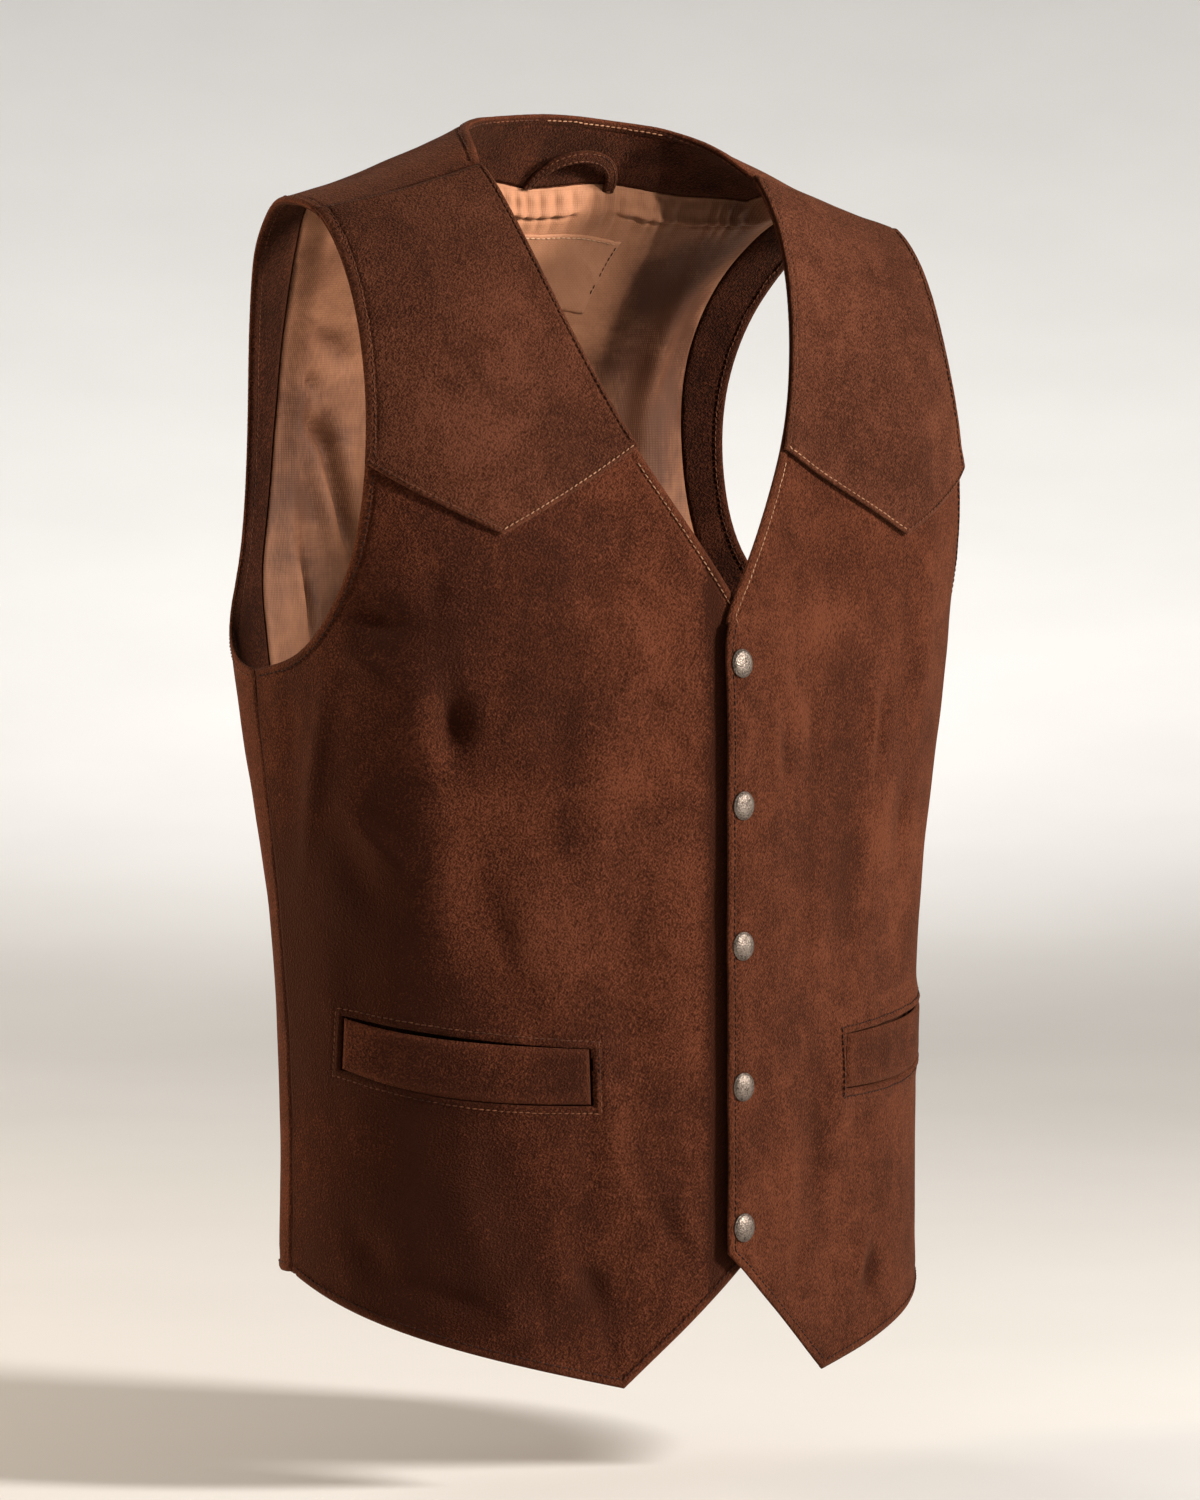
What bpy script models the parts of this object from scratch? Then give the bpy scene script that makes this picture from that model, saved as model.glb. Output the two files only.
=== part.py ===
"""A faux suede waistcoat that keeps its worn shape with nobody in it.

Each cut piece is a wall of cloth of its own. All of them lie on one torso form: closed sections
up to the chest, then a cap that leans in to the shoulder ridge. Metres, +Z up, the front faces -Y,
and +X is the wearer's left. The origin lies midway between the two shoulder tips.
"""

import itertools
import math
from collections import namedtuple

import bmesh
import bpy
from mathutils import Vector

# Cloth and seams
SUEDE = 0.0018
FACING = 0.0012
LINING = 0.0010
SEAM_GAP = 0.0003
LAYER_GAP = 0.0005

# Heights, measured from the shoulder tips
CHEST = -0.236
HEM_SIDE = -0.548
HEM_BACK = -0.553
HEM_EDGE = -0.538
HEM_POINT = -0.605

# Widths, measured from the centre line
LAP = 0.0105
HEM_POINT_X = 0.064
NECK_X = 0.089
TIP_X = 0.189
RIDGE_NECK_X = 0.070
RIDGE_TIP_X = 0.187

# The cap from the chest to the shoulder ridge, and the hollow of the nape in it
RIDGE_Y = 0.034
CAP_LENGTH = 0.440
CAP_SQUARE_CENTRE = 2.0
CAP_SQUARE_TIP = 3.7
SEAM_NECK_TURN = 66.0
SEAM_TIP_TURN = 61.0
NECK_BACK_TURN = 74.0
NAPE_DEPTH = 0.016
NAPE_HEIGHT = 0.005
NAPE_TALL = 0.050
NAPE_WIDE = 0.110

# The fronts meet in a low keel, where the left one laps over the right one
KEEL = 0.0095
KEEL_EASE = 0.080
LAP_LIFT = 0.0016
LAP_SINK = 0.0014
LAP_EASE = 0.045

# Cells of the grids, and the lines in them that pieces share. Columns count from the centre line.
# The bend is where the armhole's bottom turns up: below it a panel is wider by the columns beyond.
FRONT_COLUMNS = 18
FRONT_BEND_COLUMN = 14
POINT_COLUMN = 5
YOKE_TIP_COLUMN = 8
FRONT_LOWER_ROWS = 15
FRONT_MIDDLE_ROWS = 4
YOKE_ROWS = 10
BACK_COLUMNS = 17
BACK_BEND_COLUMN = 12
NECK_COLUMN = 6
FACING_COLUMN = 8
BAND_COLUMNS = 2
BACK_LOWER_ROWS = 13
BAND_ROW = 10
BACK_MIDDLE_ROWS = 8
BACK_UPPER_ROWS = 6
HEM_FOLD_ROWS = 1

# Pocket welts and the patch inside the back
WELT_CELLS = (14, 3)
WELT_SAG = 0.0045
PATCH_CELLS = (8, 4)
PATCH_GAP = 0.0009

# Hanger loop
LOOP_X = 0.023
LOOP_FOOT = 0.022
LOOP_SPAN = 0.052
LOOP_RISE = 0.022
LOOP_WIDTH = 0.007
LOOP_CLOTH = 0.0022
LOOP_STAND = 0.007
LOOP_GAP = 0.0008
LOOP_STEPS = 16

# Snap caps down the centre line
SNAP_COUNT = 5
SNAP_TOP = -0.2335
SNAP_PITCH = 0.0728
SNAP_RADIUS = 0.0075
SNAP_RIM = 0.0009
SNAP_DOME = 0.0030
SNAP_STEPS = 4
SNAP_SIDES = 14

FRONT = -1
BACK = 1
LEFT = 1
RIGHT = -1

# One row for each level of the torso form. From the chest up, height counts along the cap.
# Front and back are depths from the shoulder line, side is where the widest point lies behind it.
Section = namedtuple("Section", "height half_width front back side front_square back_square")
TORSO = (
    Section(-0.640, 0.191, 0.105, 0.098, 0.017, 2.3, 2.0),
    Section(-0.550, 0.191, 0.106, 0.100, 0.018, 2.3, 2.0),
    Section(-0.450, 0.191, 0.105, 0.102, 0.019, 2.3, 2.0),
    Section(-0.360, 0.195, 0.104, 0.106, 0.023, 2.4, 2.0),
    Section(-0.236, 0.206, 0.103, 0.146, 0.030, 2.7, 2.0),
    Section(-0.120, 0.220, 0.091, 0.156, 0.022, 3.0, 2.0),
    Section(-0.030, 0.218, 0.078, 0.153, 0.020, 2.9, 2.1),
    Section(0.080, 0.212, 0.066, 0.118, 0.020, 2.6, 2.3),
    Section(0.200, 0.208, 0.060, 0.080, 0.020, 2.4, 2.4),
)

# Height of the shoulder ridge at distances from the centre line
Ridge = namedtuple("Ridge", "x height")
RIDGE = (
    Ridge(0.000, 0.072),
    Ridge(0.040, 0.065),
    Ridge(0.065, 0.053),
    Ridge(0.083, 0.044),
    Ridge(0.111, 0.032),
    Ridge(0.138, 0.021),
    Ridge(0.189, 0.006),
    Ridge(0.215, 0.002),
)

# Outlines as distance from the centre line and height, from the bottom up
Edge = namedtuple("Edge", "x height")
NECKLINE = (
    Edge(-LAP, -0.214),
    Edge(0.012, -0.180),
    Edge(0.047, -0.123),
    Edge(0.072, -0.060),
    Edge(0.085, -0.008),
)
ARMHOLE_FRONT = (
    Edge(0.204, -0.228),
    Edge(0.198, -0.190),
    Edge(0.193, -0.131),
    Edge(0.189, -0.060),
)
ARMHOLE_BACK = (
    Edge(0.201, -0.230),
    Edge(0.170, -0.186),
    Edge(0.159, -0.140),
    Edge(0.158, -0.092),
    Edge(0.166, -0.044),
    Edge(0.177, -0.012),
)
YOKE_TIP = Edge(0.130, -0.167)
NECK_BEND = Edge(0.040, 0.0560)
FACING_CENTRE = Edge(0.000, 0.021)
FACING_NECK = Edge(0.098, 0.0200)
FACING_END = Edge(0.130, 0.0190)
BAND_TOP = Edge(0.152, 0.0050)

# Corners of the wearer's left welt and of the patch, lower edge first
WELT = (Edge(0.083, -0.458), Edge(0.1845, -0.440), Edge(0.084, -0.430), Edge(0.1845, -0.414))
PATCH = (Edge(-0.014, -0.040), Edge(0.060, -0.040), Edge(-0.021, -0.001), Edge(0.067, -0.001))

# Soft folds of the panels: where, which way they run, how long, wide and deep. A dent counts below zero.
# On the fronts x runs out to the side, and on the back it runs to the wearer's left.
Fold = namedtuple("Fold", "panel x height degrees length width depth")
FOLDS = (
    Fold("front_right", 0.150, -0.276, 70, 0.030, 0.014, -0.0050),
    Fold("front_right", 0.163, -0.262, 75, 0.045, 0.018, 0.0030),
    Fold("front_right", 0.128, -0.330, 100, 0.080, 0.022, -0.0030),
    Fold("front_right", 0.080, -0.550, 60, 0.050, 0.020, -0.0030),
    Fold("front_left", 0.060, -0.300, 80, 0.060, 0.020, -0.0025),
    Fold("front_left", 0.120, -0.350, 95, 0.090, 0.025, -0.0030),
    Fold("front_left", 0.105, -0.540, 110, 0.050, 0.020, -0.0025),
    Fold("back", 0.072, -0.400, 86, 0.110, 0.024, -0.0040),
    Fold("back", -0.060, -0.430, 95, 0.100, 0.026, -0.0035),
    Fold("back", 0.004, -0.350, 92, 0.090, 0.032, 0.0030),
    Fold("back", 0.132, -0.310, 118, 0.070, 0.022, -0.0030),
    Fold("back", -0.128, -0.300, 64, 0.075, 0.022, -0.0035),
)

# Colour, roughness and metal share of each finish
FINISHES = {
    "suede": ((0.105, 0.042, 0.021), 0.90, 0.0),
    "yoke suede": ((0.110, 0.048, 0.026), 0.90, 0.0),
    "facing suede": ((0.060, 0.024, 0.013), 0.90, 0.0),
    "lining cloth": ((0.480, 0.270, 0.150), 0.75, 0.0),
    "patch cloth": ((0.450, 0.240, 0.130), 0.70, 0.0),
    "snap metal": ((0.420, 0.380, 0.340), 0.45, 1.0),
}


def smooth_through(keys, values, at):
    """A smooth curve through values, numbers or vectors, at rising keys."""
    last = len(keys) - 1
    at = min(max(at, keys[0]), keys[last])
    i = max(k for k in range(last) if keys[k] <= at)

    def slope(k):
        low, high = max(k - 1, 0), min(k + 1, last)
        return (values[high] - values[low]) / (keys[high] - keys[low])

    span = keys[i + 1] - keys[i]
    t = (at - keys[i]) / span
    climb = values[i + 1] - values[i]
    start, end = slope(i) * span, slope(i + 1) * span
    return values[i] + start * t + (climb * 3 - start * 2 - end) * t**2 + (start + end - climb * 2) * t**3


def read_table(rows, column, at):
    return smooth_through([row[0] for row in rows], [getattr(row, column) for row in rows], at)


def torso_size(column, level):
    return read_table(TORSO, column, level)


def superellipse(turn, square):
    """Across and along shares of a rounded square corner, from 0, 1 to 1, 0."""
    across, along = abs(math.sin(turn)), max(math.cos(turn), 0.0)
    size = (across**square + along**square) ** (-1 / square)
    return across * size, along * size


def superellipse_turn(across, square):
    along = max(1 - across**square, 0.0) ** (1 / square)
    return math.atan2(across, along)


def ridge_height(x):
    """Height of the shoulder ridge, which climbs to the neck."""
    return read_table(RIDGE, "height", abs(x))


def cap_square(x):
    return CAP_SQUARE_CENTRE + (CAP_SQUARE_TIP - CAP_SQUARE_CENTRE) * (x / TIP_X) ** 2


def torso_point(face, angle, rise):
    """A point of the form. Rise runs up the cloth from the chest, and past the ridge it changes face."""
    if rise > CAP_LENGTH:
        face, rise = -face, 2 * CAP_LENGTH - rise
    level = CHEST + rise
    word = "front" if face == FRONT else "back"
    across, along = superellipse(angle, torso_size(f"{word}_square", level))
    side = torso_size("side", level)
    x = torso_size("half_width", level) * math.copysign(across, angle)
    y = side + (face * torso_size(word, level) - side) * along
    if rise <= 0:
        return Vector((x, y, level))
    up, forward = superellipse(rise / CAP_LENGTH * math.pi / 2, cap_square(x))
    y = RIDGE_Y + (y - RIDGE_Y) * forward
    z = CHEST + (ridge_height(x) - CHEST) * up
    if face == BACK:
        y -= NAPE_DEPTH * forward * math.exp(-(((z - NAPE_HEIGHT) / NAPE_TALL) ** 2) - (x / NAPE_WIDE) ** 2)
    return Vector((x, y, z))


def torso_normal(face, angle, rise):
    step = 0.002
    across = torso_point(face, angle + step, rise) - torso_point(face, angle - step, rise)
    up = torso_point(face, angle, rise + step) - torso_point(face, angle, rise - step)
    return across.cross(up).normalized() * -face


def spot(face, x, height):
    """Where a point of the form lies: its angle round the torso and its rise."""
    rise = height - CHEST
    if rise > 0:
        up = rise / (ridge_height(x) - CHEST)
        rise = superellipse_turn(up, cap_square(x)) * CAP_LENGTH * 2 / math.pi
    return Vector((angle_at(face, x, rise), rise))


def angle_at(face, x, rise):
    share = min(abs(x) / torso_size("half_width", CHEST + rise), 1.0)
    square = torso_size("front_square" if face == FRONT else "back_square", CHEST + rise)
    return math.copysign(superellipse_turn(share, square), x)


def line(*spots):
    """Straight from corner to corner, with each corner at its own share of the way."""
    shares, corners = zip(*spots)

    def at(t):
        i = max(k for k in range(len(shares) - 1) if shares[k] <= t)
        return corners[i].lerp(corners[i + 1], (t - shares[i]) / (shares[i + 1] - shares[i]))

    return at


def curve(*spots):
    """Smoothly through spots, spaced as they lie."""
    keys = [0.0]
    for before, after in zip(spots, spots[1:]):
        keys.append(keys[-1] + math.hypot((after.x - before.x) * TIP_X, after.y - before.y))

    def at(t, first=0, last=len(spots) - 1):
        return smooth_through(keys, spots, keys[first] + t * (keys[last] - keys[first]))

    return at


def patch_of(bottom, top, left, right, shares_across, shares_up):
    """Rows of spots that fill four edges."""
    rows = []
    for v in shares_up:
        row = []
        for u in shares_across:
            ruled = bottom(u).lerp(top(u), v) + left(v).lerp(right(v), u)
            ends = bottom(0).lerp(bottom(1), u).lerp(top(0).lerp(top(1), u), v)
            row.append(ruled - ends)
        rows.append(row)
    return rows


def shares(count):
    return [i / count for i in range(count + 1)]


def seam_end(x, turn, gap):
    """The shoulder seam's end at the neck or the tip, on the front."""
    rise = CAP_LENGTH * turn / 90 + gap
    return Vector((angle_at(FRONT, x, rise), rise))


def front_patches():
    """Grids of the wearer's left front: below the armhole's bend, up to the yoke line, and the yoke."""
    side = math.pi / 2 - SEAM_GAP / TIP_X / 2
    hem_edge, hem_side = spot(FRONT, -LAP, HEM_EDGE), Vector((side, HEM_SIDE - CHEST))
    neck_break, bend = spot(FRONT, *NECKLINE[0]), spot(FRONT, *ARMHOLE_FRONT[1])
    yoke_neck, yoke_arm = spot(FRONT, *NECKLINE[2]), spot(FRONT, *ARMHOLE_FRONT[2])
    underarm = Vector((side, 0.0))
    neck = seam_end(NECK_X, SEAM_NECK_TURN, -SEAM_GAP / 2)
    tip = seam_end(TIP_X, SEAM_TIP_TURN, -SEAM_GAP / 2)
    neckline = curve(*(spot(FRONT, *edge) for edge in NECKLINE), neck)
    armhole = curve(underarm, *(spot(FRONT, *edge) for edge in ARMHOLE_FRONT), tip)
    bend_share = FRONT_BEND_COLUMN / FRONT_COLUMNS

    def chest_line(u):
        if u <= bend_share:
            return neck_break.lerp(bend, u / bend_share)
        return armhole((1 - u) / (1 - bend_share), 0, 2)

    point_share, tip_share = POINT_COLUMN / FRONT_COLUMNS, YOKE_TIP_COLUMN / FRONT_BEND_COLUMN
    hem = line((0, hem_edge), (point_share, spot(FRONT, HEM_POINT_X, HEM_POINT)), (1, hem_side))
    yoke = line((0, yoke_neck), (tip_share, spot(FRONT, *YOKE_TIP)), (1, yoke_arm))
    across, across_bend = shares(FRONT_COLUMNS), shares(FRONT_BEND_COLUMN)
    lower = patch_of(
        hem,
        chest_line,
        line((0, hem_edge), (1, neck_break)),
        line((0, hem_side), (1, underarm)),
        across,
        shares(FRONT_LOWER_ROWS),
    )
    middle = patch_of(
        line((0, neck_break), (1, bend)),
        yoke,
        lambda v: neckline(v, 0, 2),
        lambda v: armhole(v, 2, 3),
        across_bend,
        shares(FRONT_MIDDLE_ROWS),
    )
    upper = patch_of(
        yoke,
        line((0, neck), (1, tip)),
        lambda v: neckline(v, 2, len(NECKLINE)),
        lambda v: armhole(v, 3, len(ARMHOLE_FRONT) + 1),
        across_bend,
        shares(YOKE_ROWS),
    )
    return lower, middle, upper


def back_patches():
    """Grids of the back: below the armhole's bend, up to the facing's edge, and up to neck and shoulder."""
    side = math.pi / 2 - SEAM_GAP / TIP_X / 2
    hem_centre, hem_side = Vector((0.0, HEM_BACK - CHEST)), Vector((side, HEM_SIDE - CHEST))
    underarm, bend = Vector((side, 0.0)), spot(BACK, *ARMHOLE_BACK[1])
    centre, nape = Vector((0.0, bend.y)), Vector((0.0, CAP_LENGTH * NECK_BACK_TURN / 90))
    facing_centre, facing_arm = spot(BACK, *FACING_CENTRE), spot(BACK, *ARMHOLE_BACK[-1])
    neck = seam_end(NECK_X, SEAM_NECK_TURN, SEAM_GAP / 2)
    tip = seam_end(TIP_X, SEAM_TIP_TURN, SEAM_GAP / 2)
    neck.y, tip.y = 2 * CAP_LENGTH - neck.y, 2 * CAP_LENGTH - tip.y
    ridge_neck = Vector((angle_at(BACK, RIDGE_NECK_X, CAP_LENGTH), CAP_LENGTH))
    ridge_tip = Vector((angle_at(BACK, RIDGE_TIP_X, CAP_LENGTH), CAP_LENGTH))
    armhole = curve(underarm, *(spot(BACK, *edge) for edge in ARMHOLE_BACK), ridge_tip, tip)
    neck_edge = curve(nape, spot(BACK, *NECK_BEND), ridge_neck, neck)
    bend_share = BACK_BEND_COLUMN / BACK_COLUMNS
    neck_share = NECK_COLUMN / BACK_BEND_COLUMN

    def chest_line(u):
        if u <= bend_share:
            return centre.lerp(bend, u / bend_share)
        return armhole((1 - u) / (1 - bend_share), 0, 2)

    def top(u):
        if u <= neck_share:
            return neck_edge(u / neck_share)
        return neck.lerp(tip, (u - neck_share) / (1 - neck_share))

    lower = patch_of(
        line((0, hem_centre), (1, hem_side)),
        chest_line,
        line((0, hem_centre), (1, centre)),
        line((0, hem_side), (1, underarm)),
        shares(BACK_COLUMNS),
        shares(BACK_LOWER_ROWS),
    )
    facing_edge = line(
        (0, facing_centre),
        (neck_share, spot(BACK, *FACING_NECK)),
        (FACING_COLUMN / BACK_BEND_COLUMN, spot(BACK, *FACING_END)),
        (1 - BAND_COLUMNS / BACK_BEND_COLUMN, spot(BACK, *BAND_TOP)),
        (1, facing_arm),
    )
    middle = patch_of(
        line((0, centre), (1, bend)),
        facing_edge,
        line((0, centre), (1, facing_centre)),
        lambda v: armhole(v, 2, len(ARMHOLE_BACK)),
        shares(BACK_BEND_COLUMN),
        shares(BACK_MIDDLE_ROWS),
    )
    upper = patch_of(
        facing_edge,
        top,
        line((0, facing_centre), (1, nape)),
        lambda v: armhole(v, len(ARMHOLE_BACK), len(ARMHOLE_BACK) + 2),
        shares(BACK_BEND_COLUMN),
        shares(BACK_UPPER_ROWS),
    )
    return both_halves(lower), both_halves(middle), both_halves(upper)


def both_halves(rows):
    return [[Vector((-s.x, s.y)) for s in reversed(row[1:])] + row for row in rows]


def fade(distance, near, far):
    """From 1 at near to 0 at far, level at both ends."""
    share = min(max((far - distance) / (far - near), 0.0), 1.0)
    return share * share * (3 - 2 * share)


def drape(side, face, place):
    """How far the cloth stands out from the form: the lap of the fronts and the soft folds."""
    panel, out = "back", 0.0
    if face == FRONT:
        panel = "front_left" if side == LEFT else "front_right"
        out = KEEL * fade(abs(place.x), 0.0, KEEL_EASE)
        out += fade(side * place.x, LAP, LAP_EASE) * (LAP_LIFT if side == LEFT else -LAP_SINK)
    for fold in FOLDS:
        if fold.panel == panel:
            across, up = side * place.x - fold.x, place.z - fold.height
            turn = math.radians(fold.degrees)
            along = across * math.cos(turn) + up * math.sin(turn)
            off = up * math.cos(turn) - across * math.sin(turn)
            out += fold.depth * math.exp(-((along / fold.length) ** 2) - (off / fold.width) ** 2)
    return out


def skin(side, face, rows):
    """Points of a grid of spots on the draped form, each with its way out."""
    grid = []
    for row in rows:
        cells = []
        for s in row:
            angle = s.x * side if face == FRONT else s.x
            place = torso_point(face, angle, s.y)
            out = torso_normal(face, angle, s.y)
            cells.append((place + out * drape(side, face, place), out))
        grid.append(cells)
    return grid


def add_object(name, bm, finish):
    colour, roughness, metal = FINISHES[finish]
    material = bpy.data.materials.new(name)
    material.use_nodes = True
    shader = material.node_tree.nodes["Principled BSDF"]
    shader.inputs["Base Color"].default_value = (*colour, 1.0)
    shader.inputs["Roughness"].default_value = roughness
    shader.inputs["Metallic"].default_value = metal
    mesh = bpy.data.meshes.new(name)
    bm.to_mesh(mesh)
    bm.free()
    mesh.materials.append(material)
    bpy.context.scene.collection.objects.link(bpy.data.objects.new(name, mesh))


def add_cloth(name, finish, grids, thickness, lift=0.0, keep=None, inset=0.0):
    """A wall of cloth over the kept cells of grids that meet. Its inner face lies off the form by lift."""
    bm = bmesh.new()
    way_out = bm.verts.layers.float_vector.new("way_out")
    for k, grid in enumerate(grids):
        verts = {}
        for i, j in itertools.product(range(len(grid) - 1), range(len(grid[0]) - 1)):
            if keep is None or keep(k, i, j):
                ring = ((i, j), (i, j + 1), (i + 1, j + 1), (i + 1, j))
                for corner in ring:
                    if corner not in verts:
                        place, out = grid[corner[0]][corner[1]]
                        verts[corner] = bm.verts.new(place + out * lift)
                        verts[corner][way_out] = out
                bm.faces.new([verts[corner] for corner in ring])
    bmesh.ops.remove_doubles(bm, verts=bm.verts[:], dist=0.00001)
    draw_in(bm, inset)
    bmesh.ops.triangulate(bm, faces=bm.faces[:], quad_method="FIXED")
    grown = bmesh.ops.extrude_face_region(bm, geom=bm.faces[:], use_keep_orig=True)
    for item in grown["geom"]:
        if isinstance(item, bmesh.types.BMVert):
            item.co += item[way_out] * thickness
    bmesh.ops.recalc_face_normals(bm, faces=bm.faces[:])
    if bm.calc_volume(signed=True) < 0:
        bmesh.ops.reverse_faces(bm, faces=bm.faces[:])
    add_object(name, bm, finish)


def draw_in(bm, distance):
    """Moves the rim of a sheet inward in its own plane, to leave a gap at its seams."""
    moves = {}
    bm.normal_update()
    for edge in bm.edges:
        if edge.is_boundary:
            face = edge.link_faces[0]
            start, end = (v.co for v in edge.verts)
            inward = face.normal.cross(end - start).normalized()
            if inward.dot(face.calc_center_median() - start) < 0:
                inward.negate()
            for v in edge.verts:
                moves.setdefault(v, []).append(inward)
    for v, (first, second) in moves.items():
        v.co += (first + second) * distance / (1 + first.dot(second))


def quad_patch(face, corners, cells):
    """A grid between four corners, given with the lower edge first."""
    low_in, low_out, high_in, high_out = (spot(face, *corner) for corner in corners)
    columns, rows = (shares(count) for count in cells)
    return [[low_in.lerp(low_out, u).lerp(high_in.lerp(high_out, u), v) for u in columns] for v in rows]


def add_fronts():
    patches = front_patches()
    welt = quad_patch(FRONT, WELT, WELT_CELLS)
    for row in welt:
        for u, s in zip(shares(WELT_CELLS[0]), row):
            s.y -= WELT_SAG * math.sin(math.pi * u)
    for side, word in ((RIGHT, "right"), (LEFT, "left")):
        skins = [skin(side, FRONT, patch) for patch in patches]
        add_cloth(f"front_{word}", "suede", skins, SUEDE, lift=-SUEDE)
        add_cloth(f"yoke_{word}", "yoke suede", skins[2:], SUEDE, lift=LAYER_GAP)
        add_cloth(f"pocket_welt_{word}", "suede", [skin(side, FRONT, welt)], SUEDE, lift=LAYER_GAP)


def add_back():
    """The back, with the facings and the lining that lie inside it edge to edge."""
    skins = [skin(LEFT, BACK, patch) for patch in back_patches()]
    halves = (BACK_COLUMNS, BACK_BEND_COLUMN, BACK_BEND_COLUMN)
    add_cloth("back", "suede", skins, SUEDE, lift=-SUEDE)

    def from_centre(k, j):
        return j - halves[k] if j >= halves[k] else halves[k] - 1 - j

    def at_neck(k, i, j):
        return k == 2 and from_centre(k, j) < FACING_COLUMN

    def at_armhole(k, i, j):
        return from_centre(k, j) >= BACK_BEND_COLUMN - BAND_COLUMNS and (k > 0 or i >= BAND_ROW)

    def at_lining(k, i, j):
        return (k > 0 or i >= HEM_FOLD_ROWS) and not at_neck(k, i, j) and not at_armhole(k, i, j)

    facing_lift = -SUEDE - LAYER_GAP - FACING
    lining_lift = -SUEDE - LAYER_GAP - LINING
    add_cloth("back_neck_facing", "facing suede", skins, FACING, facing_lift, at_neck, SEAM_GAP)
    for word, on_left in (("right", False), ("left", True)):

        def band(k, i, j):
            return at_armhole(k, i, j) and (j >= halves[k]) == on_left

        add_cloth(f"armhole_facing_{word}", "facing suede", skins, FACING, facing_lift, band, SEAM_GAP)
    add_cloth("back_lining", "lining cloth", skins, LINING, lining_lift, at_lining, SEAM_GAP)
    patch = skin(LEFT, BACK, quad_patch(BACK, PATCH, PATCH_CELLS))
    add_cloth("label_patch", "patch cloth", [patch], LINING, lining_lift - PATCH_GAP - LINING)


def add_loop():
    """A strip that arches up the neck facing and stands off it in the middle."""
    inner_face = SUEDE + LAYER_GAP + FACING + LOOP_GAP
    grid = []
    for step in range(LOOP_STEPS + 1):
        turn = math.pi * step / LOOP_STEPS
        row = []
        for edge in (-0.5, 0.0, 0.5):
            reach = LOOP_SPAN / 2 + edge * LOOP_WIDTH
            climb = LOOP_RISE + edge * LOOP_WIDTH
            s = spot(BACK, LOOP_X + reach * math.cos(turn), LOOP_FOOT + climb * math.sin(turn))
            out = torso_normal(BACK, s.x, s.y)
            stand = inner_face + LOOP_STAND * math.sin(turn) + LOOP_CLOTH
            row.append((torso_point(BACK, s.x, s.y) - out * stand, out))
        grid.append(row)
    add_cloth("hanger_loop", "facing suede", [grid], LOOP_CLOTH)


def add_snaps():
    """Domed caps turned about their own axes, each set on the left front."""
    for i in range(SNAP_COUNT):
        s = spot(FRONT, 0.0, SNAP_TOP - i * SNAP_PITCH)
        place, out = skin(LEFT, FRONT, [[s]])[0][0]
        profile = [(0.0, 0.0), (SNAP_RADIUS, 0.0)]
        for step in range(SNAP_STEPS + 1):
            turn = math.pi / 2 * step / SNAP_STEPS
            height = SNAP_RIM + (SNAP_DOME - SNAP_RIM) * math.sin(turn)
            profile.append((SNAP_RADIUS * math.cos(turn), height))
        bm = bmesh.new()
        ring = [bm.verts.new((radius, 0.0, height)) for radius, height in profile]
        edges = [bm.edges.new(pair) for pair in zip(ring, ring[1:])]
        bmesh.ops.spin(bm, geom=ring + edges, axis=(0, 0, 1), angle=math.tau, steps=SNAP_SIDES)
        bmesh.ops.remove_doubles(bm, verts=bm.verts[:], dist=0.00001)
        bmesh.ops.recalc_face_normals(bm, faces=bm.faces[:])
        bmesh.ops.rotate(bm, verts=bm.verts[:], matrix=out.to_track_quat("Z", "Y").to_matrix())
        bmesh.ops.translate(bm, verts=bm.verts[:], vec=place + out * SEAM_GAP)
        add_object(f"snap_{i + 1}", bm, "snap metal")


def main():
    for item in list(bpy.data.objects):
        bpy.data.objects.remove(item)
    add_fronts()
    add_back()
    add_loop()
    add_snaps()


main()
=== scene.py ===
"""Looks of a faux suede waistcoat that keeps its worn shape.

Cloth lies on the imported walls, with its sewing and snaps, and a stage, lights and a camera stand round
it. Metres, +Z up, the front faces -Y, and +X is the wearer's left.
"""

import math
from collections import namedtuple

import bmesh
import bpy
from mathutils import Matrix, Vector, noise
from mathutils.bvhtree import BVHTree
from mathutils.kdtree import KDTree


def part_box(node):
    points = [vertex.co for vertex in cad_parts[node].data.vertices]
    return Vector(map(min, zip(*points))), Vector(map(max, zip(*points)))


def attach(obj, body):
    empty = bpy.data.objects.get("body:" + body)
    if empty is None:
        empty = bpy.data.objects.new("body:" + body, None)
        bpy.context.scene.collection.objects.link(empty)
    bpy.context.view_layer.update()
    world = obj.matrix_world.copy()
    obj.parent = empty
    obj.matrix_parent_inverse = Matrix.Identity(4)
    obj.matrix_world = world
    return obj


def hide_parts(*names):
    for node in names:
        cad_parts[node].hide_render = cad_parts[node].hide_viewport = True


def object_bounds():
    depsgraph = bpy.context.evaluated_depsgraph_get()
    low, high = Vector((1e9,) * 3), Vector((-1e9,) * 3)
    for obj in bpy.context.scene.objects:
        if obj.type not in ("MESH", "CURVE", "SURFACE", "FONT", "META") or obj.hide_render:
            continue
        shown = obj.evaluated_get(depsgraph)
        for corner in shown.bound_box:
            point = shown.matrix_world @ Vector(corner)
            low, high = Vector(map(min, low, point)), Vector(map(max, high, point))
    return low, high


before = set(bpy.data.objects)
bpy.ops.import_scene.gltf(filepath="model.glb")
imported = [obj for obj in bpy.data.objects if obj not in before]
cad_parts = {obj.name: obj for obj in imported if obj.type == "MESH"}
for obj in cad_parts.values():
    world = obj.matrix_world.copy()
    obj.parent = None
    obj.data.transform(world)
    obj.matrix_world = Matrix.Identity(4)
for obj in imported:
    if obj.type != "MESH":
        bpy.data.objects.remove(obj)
cad_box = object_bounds()

LEFT = 1
RIGHT = -1

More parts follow.
